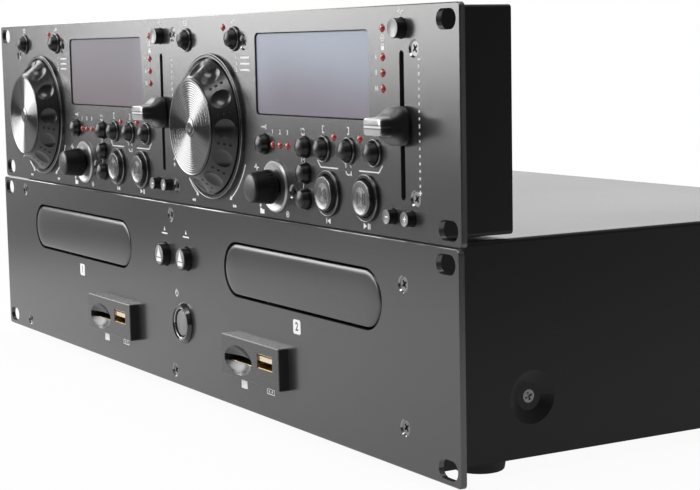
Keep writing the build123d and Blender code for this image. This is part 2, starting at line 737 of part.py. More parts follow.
with BuildPart(player_face) as media_ports:
    for side in sides:
        x = media_x[side]
        with BuildSketch(player_face):
            with Locations((x, media_z)):
                RectangleRounded(media_width, media_height, 0.8)
        extrude(amount=media_reach)
        with BuildSketch(player_face):
            with Locations((x, media_z)):
                Rectangle(media_hole_width - 0.4, media_hole_height - 0.4)
        extrude(amount=-media_body_depth)
    chamfer(media_ports.faces().sort_by(Axis.Y)[0:2].edges(), 0.4)
    for side in sides:
        scoop_x, scoop_z = media_x[side] + card_x, media_z + card_z
        # the scoop is turned about a line in front of the block, so that its mouth is an oval
        front_gap = (scoop_height ** 2 / 4 - scoop_depth ** 2) / (2 * scoop_depth)
        axis_point = player_face.from_local_coords((scoop_x, scoop_z, media_reach + front_gap))
        with BuildSketch(Plane(origin=axis_point, x_dir=(1, 0, 0), z_dir=(0, 0, 1))) as barrel:
            with BuildLine():
                half = scoop_width / 2
                Polyline((half, front_gap), (half, 0), (-half, 0), (-half, front_gap))
                ThreePointArc((-half, front_gap), (0, front_gap + scoop_depth), (half, front_gap))
            make_face()
        revolve(barrel.sketch, axis=Axis(axis_point, (1, 0, 0)), mode=Mode.SUBTRACT)
        with Locations(Location((scoop_x, scoop_z, media_reach))):
            Box(card_slot_width, card_slot_height, card_slot_depth,
                align=(Align.CENTER, Align.CENTER, Align.MAX), mode=Mode.SUBTRACT)
        port = (media_x[side] + usb_x, media_z + usb_z)
        with Locations(Location((*port, media_reach))):
            Box(usb_width, usb_height, usb_depth, align=(Align.CENTER, Align.CENTER, Align.MAX),
                mode=Mode.SUBTRACT)
    for side in sides:
        # contact tongue of the socket, above its middle
        with Locations(Location((media_x[side] + usb_x, media_z + usb_z + 1.0, media_reach - usb_depth))):
            Box(usb_width - 2.4, 1.8, usb_depth - 1.5, align=(Align.CENTER, Align.CENTER, Align.MIN))
save(media_ports, "media_ports")

# ---------------------------------------------------------------- disc trays

door_width = tray_opening_width - 2 * tray_door_gap
door_height = tray_opening_height - 2 * tray_door_gap
door_back = tray_door_recess + tray_door_thickness
tray_world_z = panel_z + tray_z
tray_bottom = tray_world_z - door_height / 2 + tray_under_door
tray_top = tray_bottom + tray_thickness
recess_floor = tray_top - disc_recess_depth
disc_y = face_y + door_back + tray_front_margin + disc_recess_radius
rack_tooth, rack_pitch = 1.6, 4.0
rack_teeth = int(tray_travel / rack_pitch)

for side in sides:
    x = tray_x[side]
    with BuildPart() as tray:
        with BuildSketch(face_plane(face_y + tray_door_recess, panel_z)):
            with Locations((x, tray_z)):
                SlotOverall(door_width, door_height)
        extrude(amount=-tray_door_thickness)
        fillet(tray.faces().sort_by(Axis.Y)[0].edges(), 0.8)
        with BuildSketch(Plane.XY.offset(tray_bottom)):
            with Locations((x, face_y + door_back + tray_length / 2)):
                Rectangle(tray_width, tray_length)
        extrude(amount=tray_thickness)
        fillet(tray.edges().filter_by(Axis.Z).group_by(Axis.Y)[-1], 6.0)
        with BuildSketch(Plane.XY.offset(recess_floor)):
            with Locations((x, disc_y)):
                Circle(disc_recess_radius)
        extrude(amount=disc_recess_depth, mode=Mode.SUBTRACT)
        # the slot for the spindle and the pickup runs out at the tray's back
        slot_end = face_y + door_back + tray_length
        with BuildSketch(Plane.XY.offset(tray_bottom)):
            with Locations((x, disc_y)):
                Circle(tray_slot_width / 2)
            with Locations((x, (disc_y + slot_end + 1.0) / 2)):
                Rectangle(tray_slot_width, slot_end + 1.0 - disc_y)
        extrude(amount=tray_thickness, mode=Mode.SUBTRACT)
        # the step that holds a small disc
        with BuildSketch(Plane.XY.offset(recess_floor - small_disc_step)):
            with Locations((x, disc_y)):
                Circle(small_disc_radius)
        extrude(amount=small_disc_step, mode=Mode.SUBTRACT)
        # rack under the right edge, which the loading drive moves
        with BuildSketch(Plane.XY.offset(tray_bottom)):
            for tooth in range(rack_teeth):
                with Locations((x + tray_width / 2 - 6.0, face_y + door_back + 12.0 + tooth * rack_pitch)):
                    Rectangle(5.0, rack_pitch / 2)
        extrude(amount=rack_tooth, mode=Mode.SUBTRACT)
    save(tray, f"disc_tray_{side}")

# ---------------------------------------------------------------- spindles

hub_top = recess_floor + small_disc_step
hub_bottom = hub_top - hub_thickness
spindle_space = 7.4
traverse_top = tray_bottom - spindle_space
spindle_end = traverse_top - 3.0

for side in sides:
    with BuildPart() as spindle:
        with Locations((tray_x[side], disc_y, hub_bottom)):
            Cylinder(hub_radius, hub_thickness, align=(Align.CENTER, Align.CENTER, Align.MIN))
        chamfer(spindle.edges().group_by(Axis.Z)[-1], 0.4)
        with Locations((tray_x[side], disc_y, hub_top)):
            Cone(hub_cone_radius, hub_cone_radius - 1.2, hub_cone_height,
                 align=(Align.CENTER, Align.CENTER, Align.MIN))
        with Locations((tray_x[side], disc_y, hub_bottom)):
            Cylinder(spindle_radius, hub_bottom - spindle_end, align=(Align.CENTER, Align.CENTER, Align.MAX))
    save(spindle, f"disc_spindle_{side}")

# ---------------------------------------------------------------- disc drives

drive_front = face_y + panel_thickness + 1.6
drive_bottom = tray_bottom - drive_under_tray
drive_top = tray_top + drive_above_tray
rail_reach, rail_thickness, rail_gap = 3.4, 2.0, 0.3
rail_end_gap = 4.0
guide_height = 4.0
bridge_z = tray_top + 9.0
bridge_thickness, bridge_width = 2.0, 30.0
clamp_hole = 10.0
clamp_disc_thickness, clamp_plate_thickness, clamp_overlap = 2.0, 1.5, 3.0
traverse_front, traverse_length, traverse_width = disc_y - 22.0, 112.0, 104.0
traverse_thickness = 1.5
traverse_bottom = traverse_top - traverse_thickness
boss_radius, boss_inset = 4.0, 6.0
floor_window_width, floor_window_margin = 80.0, 10.0
sled_y = disc_y + 42.0
sled_width, sled_length, sled_height, sled_lift = 34.0, 16.0, 4.6, 0.6
lens_radius, lens_height = 3.0, 1.2
rod_x, rod_radius, rod_front, rod_rear = 14.0, 1.5, 25.0, 28.0
rod_block_width, rod_block_length, rod_block_height = 6.0, 4.0, 5.0
pickup_window_width = 2 * rod_x - rod_block_width - 2.0
pickup_window_length = rod_front + rod_rear - rod_block_length - 2.0
loader_radius, loader_height = 10.0, 9.0
loader_x, loader_y = 44.0, 16.0

with BuildPart() as disc_drives:
    for side in sides:
        x = tray_x[side]
        middle = drive_front + drive_length / 2
        # open-topped frame: floor, two walls and a back
        with Locations((x, middle, drive_bottom)):
            Box(drive_width, drive_length, drive_top - drive_bottom,
                align=(Align.CENTER, Align.CENTER, Align.MIN))
        with Locations((x, middle - drive_wall, drive_bottom + drive_wall)):
            Box(drive_width - 2 * drive_wall, drive_length, drive_top - drive_bottom,
                align=(Align.CENTER, Align.CENTER, Align.MIN), mode=Mode.SUBTRACT)
        # window in the floor under the traverse
        with Locations((x, traverse_front + traverse_length / 2, drive_bottom)):
            Box(floor_window_width, traverse_length - 2 * floor_window_margin, drive_wall,
                align=(Align.CENTER, Align.CENTER, Align.MIN), mode=Mode.SUBTRACT)
        for hand in (-1, 1):
            wall = x + hand * (drive_width / 2 - drive_wall)
            edge = x + hand * (tray_width / 2 - rail_reach)
            guide = x + hand * (tray_width / 2 + rail_gap)
            rail_mid, rail_width = (wall + edge) / 2, abs(wall - edge)
            rail_length = drive_length - 2 * rail_end_gap
            with Locations((rail_mid, middle, tray_bottom - rail_gap)):
                Box(rail_width, rail_length, rail_thickness, align=(Align.CENTER, Align.CENTER, Align.MAX))
            with Locations((rail_mid, middle, tray_top + rail_gap)):
                Box(rail_width, rail_length, rail_thickness, align=(Align.CENTER, Align.CENTER, Align.MIN))
            with Locations(((guide + wall) / 2, middle, tray_bottom - rail_gap)):
                Box(abs(wall - guide), rail_length, guide_height, align=(Align.CENTER, Align.CENTER, Align.MIN))
        # bridge over the tray, with the hole of the clamp
        with Locations((x, disc_y, bridge_z)):
            Box(drive_width - drive_wall, bridge_width, bridge_thickness,
                align=(Align.CENTER, Align.CENTER, Align.MIN))
            Cylinder(clamp_hole, bridge_thickness, align=(Align.CENTER, Align.CENTER, Align.MIN),
                     mode=Mode.SUBTRACT)
        # traverse: plate on four bosses, with the window of the pickup
        for hand in (-1, 1):
            boss_x = x + hand * (traverse_width / 2 - boss_inset)
            for boss_y in (traverse_front + boss_inset, traverse_front + traverse_length - boss_inset):
                with Locations((boss_x, boss_y, drive_bottom)):
                    Cylinder(boss_radius, traverse_bottom - drive_bottom,
                             align=(Align.CENTER, Align.CENTER, Align.MIN))
    for side in sides:
        x = tray_x[side]
        rod_mid_y = sled_y + (rod_rear - rod_front) / 2
        with BuildSketch(Plane.XY.offset(traverse_bottom)):
            with Locations((x, traverse_front + traverse_length / 2)):
                Rectangle(traverse_width, traverse_length)
            with Locations((x, rod_mid_y)):
                Rectangle(pickup_window_width, pickup_window_length, mode=Mode.SUBTRACT)
        extrude(amount=traverse_thickness)
        with Locations((x, disc_y, traverse_top)):
            Cylinder(motor_radius, motor_height, align=(Align.CENTER, Align.CENTER, Align.MIN))
        with Locations((x, disc_y, traverse_bottom)):
            Cylinder(spindle_radius + running_gap, traverse_thickness + motor_height,
                     align=(Align.CENTER, Align.CENTER, Align.MIN), mode=Mode.SUBTRACT)
        # guide rods in their end blocks, and the pickup sled that rides on them
        for hand in (-1, 1):
            for end_y in (sled_y - rod_front, sled_y + rod_rear):
                with Locations((x + hand * rod_x, end_y, traverse_top)):
                    Box(rod_block_width, rod_block_length, rod_block_height,
                        align=(Align.CENTER, Align.CENTER, Align.MIN))
            rod_z = traverse_top + rod_block_height / 2
            with Locations(Location((x + hand * rod_x, rod_mid_y, rod_z), (90, 0, 0))):
                Cylinder(rod_radius, rod_front + rod_rear)
        with Locations((x, sled_y, traverse_top + sled_lift)):
            Box(sled_width, sled_length, sled_height, align=(Align.CENTER, Align.CENTER, Align.MIN))
        with Locations((x, sled_y, traverse_top + sled_lift + sled_height)):
            Cylinder(lens_radius, lens_height, align=(Align.CENTER, Align.CENTER, Align.MIN))
        # loading motor at the front of the floor
        with Locations((x - loader_x, drive_front + loader_y, drive_bottom + drive_wall)):
            Cylinder(loader_radius, loader_height, align=(Align.CENTER, Align.CENTER, Align.MIN))
# a clamp hangs through the bridge's hole: its plate lies on the bridge, its disc is below
with BuildPart() as clamps:
    for side in sides:
        neck_z = bridge_z - clamp_disc_thickness
        with Locations((tray_x[side], disc_y, bridge_z + bridge_thickness)):
            Cylinder(clamp_hole + clamp_overlap, clamp_plate_thickness,
                     align=(Align.CENTER, Align.CENTER, Align.MIN))
        with Locations((tray_x[side], disc_y, neck_z)):
            Cylinder(clamp_hole - 1.0, bridge_thickness + clamp_disc_thickness,
                     align=(Align.CENTER, Align.CENTER, Align.MIN))
        with Locations((tray_x[side], disc_y, neck_z)):
            Cylinder(hub_radius, clamp_disc_thickness, align=(Align.CENTER, Align.CENTER, Align.MAX))
drives = Compound(label="disc_drives", children=[*disc_drives.part.solids(), *clamps.part.solids()])
export_step(drives, "parts/disc_drives.step")

# ---------------------------------------------------------------- player chassis and cover

dimple_radius, dimple_floor_radius, dimple_depth = 10.6, 5.6, 2.6
side_screw_y = (49.3, case_depth - 46.7)
side_screw_z = 24.8
skirt_x = case_width / 2 - dimple_depth - sheet
cover_front = face_y + panel_thickness
pan_height = 34.0
drive_post_radius = 4.0
drive_post_inset = 7.0
drive_post_front, drive_post_rear = media_body_depth + 7.0, 22.0
frame_side, frame_foot, frame_head = 16.0, 8.0, 8.4
floor_top = foot_height + sheet
inlet_x, inlet_z = -170.0, 30.0
rca_places = [(x, z) for x in (60.0, 78.0, 120.0, 138.0) for z in (24.0, 40.0)]
link_places = [(-60.0, 30.0), (-90.0, 30.0)]
rca_hole, link_hole = 5.4, 7.3

with BuildPart() as chassis:
    mid_y = (cover_front + rear_y) / 2
    pan_width = 2 * skirt_x
    with Locations((0, mid_y, foot_height)):
        Box(pan_width, rear_y - cover_front, sheet, align=(Align.CENTER, Align.CENTER, Align.MIN))
    # back wall, standing on the floor, up to the cover
    with Locations((0, rear_y, foot_height)):
        Box(pan_width, sheet, case_top_z - sheet - foot_height, align=(Align.CENTER, Align.MAX, Align.MIN))
    # low side walls that the side screws are driven into
    for hand in (-1, 1):
        with Locations((hand * (skirt_x - sheet / 2), mid_y, foot_height)):
            Box(sheet, rear_y - cover_front, pan_height, align=(Align.CENTER, Align.CENTER, Align.MIN))
    # front frame, folded up behind the panel, that the panel screws are driven into
    with BuildSketch(face_plane(cover_front)):
        frame_top = case_top_z - sheet
        with Locations((0, (foot_height + frame_top) / 2)):
            Rectangle(pan_width, frame_top - foot_height)
        with Locations((0, (foot_height + frame_foot + frame_top - frame_head) / 2)):
            Rectangle(pan_width - 2 * frame_side, frame_top - foot_height - frame_foot - frame_head,
                      mode=Mode.SUBTRACT)
        with Locations(*[(x, z + panel_z) for x, z in player_screw_places]):
            Circle(screw_radius, mode=Mode.SUBTRACT)
    extrude(amount=-sheet)
    # posts under the drives
    for x in tray_x.values():
        for post_x in (x - drive_width / 2 + drive_post_inset, x + drive_width / 2 - drive_post_inset):
            for post_y in (drive_front + drive_post_front, drive_front + drive_length - drive_post_rear):
                with Locations((post_x, post_y, foot_height)):
                    Cylinder(drive_post_radius, drive_bottom - foot_height,
                             align=(Align.CENTER, Align.CENTER, Align.MIN))
    # side screw holes
    for place_y in side_screw_y:
        with Locations(Location((0, face_y + place_y, panel_z + side_screw_z), (0, 90, 0))):
            Cylinder(screw_radius, 2 * case_width, mode=Mode.SUBTRACT)
    # holes of the rear sockets
    with BuildSketch(rear_plane(rear_y)):
        with Locations((-inlet_x, inlet_z)):
            Rectangle(inlet_width, inlet_height)
        with Locations(*[(-x, z) for x, z in rca_places]):
            Circle(rca_hole)
        with Locations(*[(-x, z) for x, z in link_places]):
            Circle(link_hole)
    extrude(amount=-sheet, mode=Mode.SUBTRACT)
save(chassis, "chassis")

with BuildPart() as top_cover:
    cover_height = case_top_z - foot_height
    with Locations((0, (cover_front + rear_y) / 2, foot_height)):
        Box(case_width, rear_y - cover_front, cover_height, align=(Align.CENTER, Align.CENTER, Align.MIN))
    top_edges = top_cover.edges().filter_by(Axis.Y).group_by(Axis.Z)[-1]
    fillet(top_edges, 1.6)
    inner_edges_top = case_top_z - sheet
    with Locations((0, (cover_front + rear_y) / 2, foot_height)):
        Box(case_width - 2 * sheet, rear_y - cover_front, inner_edges_top - foot_height,
            align=(Align.CENTER, Align.CENTER, Align.MIN), mode=Mode.SUBTRACT)
    # pressed dimples round the side screws
    for hand in (-1, 1):
        for place_y in side_screw_y:
            centre = (hand * case_width / 2, face_y + place_y, panel_z + side_screw_z)
            outward = Plane(origin=centre, x_dir=(0, 1, 0), z_dir=(hand, 0, 0))
            with Locations(outward.location * Location((0, 0, -sheet))):
                Cone(dimple_floor_radius + 0.6, dimple_radius, dimple_depth,
                     align=(Align.CENTER, Align.CENTER, Align.MAX))
            with Locations(outward.location):
                Cone(dimple_floor_radius, dimple_radius, dimple_depth,
                     align=(Align.CENTER, Align.CENTER, Align.MAX), mode=Mode.SUBTRACT)
            with Locations(outward.location * Location((0, 0, -dimple_depth))):
                Cone(screw_radius + 0.15, screw_radius + 0.15 + sheet, sheet,
                     align=(Align.CENTER, Align.CENTER, Align.MAX), mode=Mode.SUBTRACT)
save(top_cover, "top_cover")

# ---------------------------------------------------------------- feet, screws

with BuildPart() as feet:
    for x in (-foot_x, foot_x):
        for y in (face_y + foot_front_y, face_y + foot_rear_y):
            with Locations((x, y, 0)):
                Cone(foot_radius - 1.2, foot_radius, foot_height, align=(Align.CENTER, Align.CENTER, Align.MIN))
    fillet(feet.edges().group_by(Axis.Z)[0], 1.2)
save(feet, "feet")

with BuildPart(player_face) as front_screws:
    add_screws(player_screw_places, screw_length - 3.0)
with BuildPart() as side_screws:
    for hand in (-1, 1):
        for place_y in side_screw_y:
            centre = (hand * (case_width / 2 - dimple_depth), face_y + place_y, panel_z + side_screw_z)
            outward = Plane(origin=centre, x_dir=(0, 1, 0), z_dir=(hand, 0, 0))
            with Locations(outward.location):
                Cone(screw_radius, screw_radius + sheet, sheet, align=(Align.CENTER, Align.CENTER, Align.MAX))
                Cylinder(screw_radius, 6.0, align=(Align.CENTER, Align.CENTER, Align.MAX))
                for turned in (20, 110):
                    Box(screw_cross, screw_cross_width, 1.4, rotation=(0, 0, turned), mode=Mode.SUBTRACT)
screws = Compound(label="player_screws", children=[*front_screws.part.solids(), *side_screws.part.solids()])
export_step(screws, "parts/player_screws.step")

# ---------------------------------------------------------------- rear sockets

with BuildPart(rear_plane(rear_y)) as rear_sockets:
    # mains inlet: flange, body and cavity with three blades
    with Locations(Location((-inlet_x, inlet_z, 0))):
        Box(inlet_width + 6.0, inlet_height + 6.0, 2.5, align=(Align.CENTER, Align.CENTER, Align.MIN))
        Box(inlet_width - 0.4, inlet_height - 0.4, 18.0, align=(Align.CENTER, Align.CENTER, Align.MAX))
    with Locations(Location((-inlet_x, inlet_z, 2.5))):
        Box(inlet_cavity_width, inlet_cavity_height, inlet_cavity_depth,
            align=(Align.CENTER, Align.CENTER, Align.MAX), mode=Mode.SUBTRACT)
    for blade_x, blade_z in ((-7.0, -2.0), (7.0, -2.0), (0.0, 2.0)):
        with Locations(Location((-inlet_x + blade_x, inlet_z + blade_z, 2.5 - inlet_cavity_depth))):
            Box(2.0, 4.0, inlet_cavity_depth - 5.0, align=(Align.CENTER, Align.CENTER, Align.MIN))
    # audio jacks
    for x, z in rca_places:
        with Locations(Location((-x, z, 0))):
            Cylinder(rca_hole - 0.2, 2.0, align=(Align.CENTER, Align.CENTER, Align.MIN))
            Cylinder(4.15, socket_reach, align=(Align.CENTER, Align.CENTER, Align.MIN))
            Cylinder(rca_hole - 0.2, 9.0, align=(Align.CENTER, Align.CENTER, Align.MAX))
            Cylinder(1.6, socket_reach, align=(Align.CENTER, Align.CENTER, Align.MIN), mode=Mode.SUBTRACT)
    # link sockets for the controller
    for x, z in link_places:
        with Locations(Location((-x, z, 0))):
            Cylinder(link_hole - 0.2, 1.0, align=(Align.CENTER, Align.CENTER, Align.MIN))
            Cylinder(link_hole - 0.2, 10.0, align=(Align.CENTER, Align.CENTER, Align.MAX))
            with PolarLocations(2.6, 7):
                Cylinder(0.5, 8.0, mode=Mode.SUBTRACT)
save(rear_sockets, "rear_sockets")

# ---------------------------------------------------------------- boards and supply of the player

board_z = floor_top + 6.0
board_front_y, board_rear_gap, board_width = 40.0, 14.7, 116.0
board_length = case_depth - board_front_y - board_rear_gap
board_spacer_x, board_spacer_inset = 50.0, 10.0
with BuildPart() as circuit_boards:
    # one board under each drive, on four spacers
    for x in tray_x.values():
        board_y = face_y + board_front_y + board_length / 2
        spacer_reach = board_length / 2 - board_spacer_inset
        with Locations((x, board_y, board_z)):
            Box(board_width, board_length, board_thickness, align=(Align.CENTER, Align.CENTER, Align.MIN))
        for spacer_x in (-board_spacer_x, board_spacer_x):
            for spacer_y in (-spacer_reach, spacer_reach):
                with Locations((x + spacer_x, board_y + spacer_y, floor_top)):
                    Cylinder(3.0, board_z - floor_top, align=(Align.CENTER, Align.CENTER, Align.MIN))
        for chip_x, chip_y, chip_size in ((-20.0, -40.0, 24.0), (25.0, 0.0, 18.0), (-15.0, 35.0, 14.0)):
            with Locations((x + chip_x, board_y + chip_y, board_z + board_thickness)):
                Box(chip_size, chip_size, 2.4, align=(Align.CENTER, Align.CENTER, Align.MIN))
    # supply board between the drives, with capacitors
    with Locations((0, face_y + 80.0, board_z)):
        Box(80.0, 90.0, board_thickness, align=(Align.CENTER, Align.CENTER, Align.MIN))
    for spacer_x in (-34.0, 34.0):
        for spacer_y in (42.0, 118.0):
            with Locations((spacer_x, face_y + spacer_y, floor_top)):
                Cylinder(3.0, board_z - floor_top, align=(Align.CENTER, Align.CENTER, Align.MIN))
    for can_x in (-24.0, 0.0, 24.0):
        with Locations((can_x, face_y + 95.0, board_z + board_thickness)):
            Cylinder(9.0, 26.0, align=(Align.CENTER, Align.CENTER, Align.MIN))
    # front switch board, standing on the floor, with a bored switch behind each button
    with Locations((0, face_y + front_board_y, floor_top)):
        Box(60.0, board_thickness, 70.0, align=(Align.CENTER, Align.MIN, Align.MIN))
    front_switches = [(x, eject_z, switch_size, eject_switch_height, eject_travel) for x in eject_x.values()]
    front_switches.append((power_x, power_z, power_switch_size, power_switch_height, power_travel))
    for x, z, size, height, travel in front_switches:
        with Locations((x, face_y + front_board_y, panel_z + z)):
            Box(size, height, size, align=(Align.CENTER, Align.MAX, Align.CENTER))
        with Locations(Location((x, face_y + front_board_y - height, panel_z + z), (90, 0, 0))):
            Cylinder(stem_radius + button_gap, 2 * (stem_entry + travel + switch_end_gap), mode=Mode.SUBTRACT)
with BuildPart() as transformer:
    with Locations((0, face_y + 170.0, floor_top)):
        Box(66.0, 44.0, 54.0, align=(Align.CENTER, Align.CENTER, Align.MIN))
        Box(80.0, 44.0, 3.0, align=(Align.CENTER, Align.CENTER, Align.MIN))
    with Locations((0, face_y + 170.0, floor_top + 27.0)):
        Box(46.0, 62.0, 40.0)
supply = Compound(label="circuit_boards", children=[*circuit_boards.part.solids(), *transformer.part.solids()])
export_step(supply, "parts/circuit_boards.step")
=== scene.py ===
# %% [markdown]
# # A twin disc player for a DJ
#
# The real object is two rack units: a player with two disc trays, and on it a controller with
# jog wheels, faders and displays. The mechanical model is loaded as a fixed frame. Each of its
# pieces keeps its mesh and gets a finish here, and this lesson adds what a mechanical model
# leaves out: the grooves of the spun plates, the print on the panels, the marks on the buttons
# and the contacts in the sockets.

# %% Load the frame
import math

import bmesh
import bpy
from mathutils import Matrix, Vector


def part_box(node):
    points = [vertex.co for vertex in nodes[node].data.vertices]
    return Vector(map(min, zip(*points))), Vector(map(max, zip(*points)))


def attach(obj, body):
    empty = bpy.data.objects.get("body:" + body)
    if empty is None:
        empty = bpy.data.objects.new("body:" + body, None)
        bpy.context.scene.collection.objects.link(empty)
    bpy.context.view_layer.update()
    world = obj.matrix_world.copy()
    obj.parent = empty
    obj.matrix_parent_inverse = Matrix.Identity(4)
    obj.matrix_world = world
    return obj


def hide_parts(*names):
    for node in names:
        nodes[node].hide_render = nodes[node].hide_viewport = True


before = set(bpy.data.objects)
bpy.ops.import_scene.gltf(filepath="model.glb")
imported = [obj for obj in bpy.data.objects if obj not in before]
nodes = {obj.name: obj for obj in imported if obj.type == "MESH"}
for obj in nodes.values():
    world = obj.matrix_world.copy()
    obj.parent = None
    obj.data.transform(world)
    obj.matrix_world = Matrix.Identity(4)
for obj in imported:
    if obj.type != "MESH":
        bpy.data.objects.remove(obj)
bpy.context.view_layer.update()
MM = 0.001

# %% [markdown]
# ## Sockets that do sums
#
# A finish is a small formula over the surface: grain, grooves and worn edges are sums of
# distances and noises. Wiring each sum by hand hides the formula, so one class wraps a socket
# and overloads Python's operators. Colours don't go through it, because a Math node turns a
# colour grey: they meet in Mix nodes.


# %% A socket with operators
class Value:
    """A number that varies over the surface. A sum of values adds a Math node."""

    def __init__(self, finish, socket):
        self.finish, self.socket = finish, socket

    def __add__(self, other):
        return self.finish.math("ADD", self, other)

    def __sub__(self, other):
        return self.finish.math("SUBTRACT", self, other)

    def __rsub__(self, other):
        return self.finish.math("SUBTRACT", other, self)

    def __mul__(self, other):
        return self.finish.math("MULTIPLY", self, other)

    def __truediv__(self, other):
        return self.finish.math("DIVIDE", self, other)

    def __rtruediv__(self, other):
        return self.finish.math("DIVIDE", other, self)

    def __pow__(self, other):
        return self.finish.math("POWER", self, other)

    def __rpow__(self, other):
        return self.finish.math("POWER", other, self)

    def __abs__(self):
        return self.finish.math("ABSOLUTE", self)

    __radd__ = __add__
    __rmul__ = __mul__

    def sine(self):
        return self.finish.math("SINE", self)

    def ramp(self, low, high):
        """0 below low, 1 above high, and a smooth step between."""
        return self.finish.node("ShaderNodeMapRange", {"interpolation_type": "SMOOTHSTEP"},
                                {"Value": self, "From Min": low, "From Max": high}).value("Result")


class Made:
    """A node that was just made, whose outputs are asked for by name or number."""

    def __init__(self, finish, node):
        self.finish, self.node = finish, node

    def value(self, output=0):
        return Value(self.finish, self.node.outputs[output])


class Finish:
    """The nodes of one material, or of the world when its tree is given."""

    def __init__(self, name, tree=None):
        if tree is None:
            self.material = bpy.data.materials.new(name)
            self.material.use_nodes = True
            tree = self.material.node_tree
        self.tree = tree
        self.tree.nodes.clear()

    def node(self, kind, settings=None, inputs=None):
        node = self.tree.nodes.new(kind)
        for key, setting in (settings or {}).items():
            setattr(node, key, setting)
        for key, given in (inputs or {}).items():
            if isinstance(given, Value):
                self.tree.links.new(given.socket, node.inputs[key])
            else:
                node.inputs[key].default_value = given
        return Made(self, node)

    def math(self, operation, *numbers):
        return self.node("ShaderNodeMath", {"operation": operation}, dict(enumerate(numbers))).value()

    def place(self):
        """Where on the object, in metres, and its x, y and z. They stay put when the piece moves."""
        where = self.node("ShaderNodeTexCoord").value("Object")
        split = self.node("ShaderNodeSeparateXYZ", None, {0: where})
        return where, [split.value(axis) for axis in "XYZ"]

    def noise(self, where, scale, detail=2.0, roughness=0.5, stretch=None):
        if stretch:
            where = self.node("ShaderNodeVectorMath", {"operation": "MULTIPLY"},
                              {0: where, 1: stretch}).value()
        return self.node("ShaderNodeTexNoise", None, {"Vector": where, "Scale": scale, "Detail": detail,
                                                      "Roughness": roughness}).value()

    def blend(self, amount, first, second):
        """A colour between two, each a colour or a value that holds one."""
        return self.node("ShaderNodeMix", {"data_type": "RGBA"},
                         {"Factor": amount, 6: first, 7: second}).value(2)

    def bump(self, height, strength, distance):
        return self.node("ShaderNodeBump", None,
                         {"Height": height, "Strength": strength, "Distance": distance}).value()

    def show(self, shader, kind="ShaderNodeOutputMaterial"):
        self.node(kind, None, {"Surface": shader})

    def surface(self, **sockets):
        """The shader of a material, with its sockets written in small letters."""
        names = {key: key.replace("_", " ").title() for key in sockets}
        names.update(ior="IOR", specular_ior_level="Specular IOR Level")
        self.show(self.node("ShaderNodeBsdfPrincipled", None,
                            {names[key]: given for key, given in sockets.items()}).value())
        return self.material


def grey(level, warmth=0.0):
    """A colour that is nearly grey, a little warm or cool."""
    return (level * (1 + warmth), level, level * (1 - warmth), 1.0)


print("sums ready")

# %% [markdown]
# ## Panel paint
#
# Both fronts are sheet metal with a fine-grained dark paint that has metal flake in it. Seen
# along the panel it mirrors the studio softly: light above, a dark band, and the pale floor.
# So the paint is partly metallic with a middling roughness, and the grain is a noise of about
# half a millimetre, which also carries a very small change of colour. Just under the player's
# upper edge a thin band is painted light grey, a painted highlight of that edge, and it shows
# as a thin line where the two units meet.


# %% Paint of the panels
GRAIN = (1900.0, 3.0, 0.65)


def flake_paint(name, level, metal, rough, grain, highlight_edge=None, gloss=0.5):
    """Paint with flake in it. Just under the height of an edge it is painted light grey, a painted highlight.
    """
    finish = Finish(name)
    where, (_, _, z) = finish.place()
    fine = finish.noise(where, *GRAIN)
    cloud = finish.noise(where, 9.0, 2.0)
    colour = finish.blend((fine - 0.5) * 0.7 + (cloud - 0.5) * 0.2 + 0.5, grey(level * 0.86, 0.004),
                          grey(level * 1.14, 0.004))
    # painted highlight: a light grey band just under the edge height stands in for that edge's glint
    if highlight_edge:
        colour = finish.blend(z.ramp(highlight_edge - 0.30 * MM, highlight_edge - 0.15 * MM), colour, grey(0.42))
    return finish.surface(base_color=colour, metallic=metal, specular_ior_level=gloss,
                          roughness=(fine - 0.5) * 0.12 + (cloud - 0.5) * 0.05 + rough,
                          normal=finish.bump(fine, grain, 0.00012))


panel_paint = flake_paint("panel_paint", level=0.098, metal=0.66, rough=0.22, grain=0.16)
player_paint = flake_paint("player_paint", level=0.098, metal=0.66, rough=0.22, grain=0.10,
                           highlight_edge=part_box("player_panel")[1].z)
door_paint = flake_paint("door_paint", level=0.090, metal=0.55, rough=0.20, grain=0.04)
case_paint = flake_paint("case_paint", level=0.008, metal=0.10, rough=0.36, grain=0.10, gloss=0.28)
print("paints:", panel_paint.name, player_paint.name, door_paint.name, case_paint.name)

# %% [markdown]
# ## Paint of the media blocks
#
# The two blocks that hold the card slots and the USB sockets are satin in front. Their narrow
# sides are duller and painted near black as painted shade. Splitting the mesh would do, but the
# sides differ only by how far they are from a block's middle, so one mask across the panel tells
# them apart.

# %% Paint of the media blocks
MEDIA_X, MEDIA_Z, MEDIA_REACH = {"left": -75.9, "right": 82.8}, 24.5, 4.7
MEDIA_HALF = 27.5


def block_paint():
    """Satin on the front. The two narrow sides of each block are duller, and painted near black as shade."""
    finish = Finish("port_paint")
    where, (x, _, _) = finish.place()
    fine = finish.noise(where, *GRAIN)
    between = (MEDIA_X["left"] + MEDIA_X["right"]) / 2
    apart = (MEDIA_X["right"] - MEDIA_X["left"]) / 2
    across = abs(abs(x - between * MM) - apart * MM)
    dull_shaded_sides = across.ramp((MEDIA_HALF - 0.25) * MM, (MEDIA_HALF - 0.05) * MM)
    front = finish.blend(fine, grey(0.060), grey(0.085))
    # painted shade: the narrow sides are painted near black, and are also duller and not metallic
    return finish.surface(base_color=finish.blend(dull_shaded_sides, front, grey(0.006)), metallic=(1.0 - dull_shaded_sides) * 0.45,
                          roughness=dull_shaded_sides * 0.45 + (fine - 0.5) * 0.1 + 0.27,
                          normal=finish.bump(fine, 0.06, 0.00012))


port_paint = block_paint()
print("block paint:", port_paint.name)

# %% [markdown]
# ## Moulded plastic, rubber and plated metal
#
# The buttons, rings and wheels are black plastic. A moulding is never quite even: it has a
# faint orange-peel bump and its gloss wanders. One function makes them all, with the gloss and
# the size of the grain as its numbers. Screws and contacts are plated metal with fine scratches.


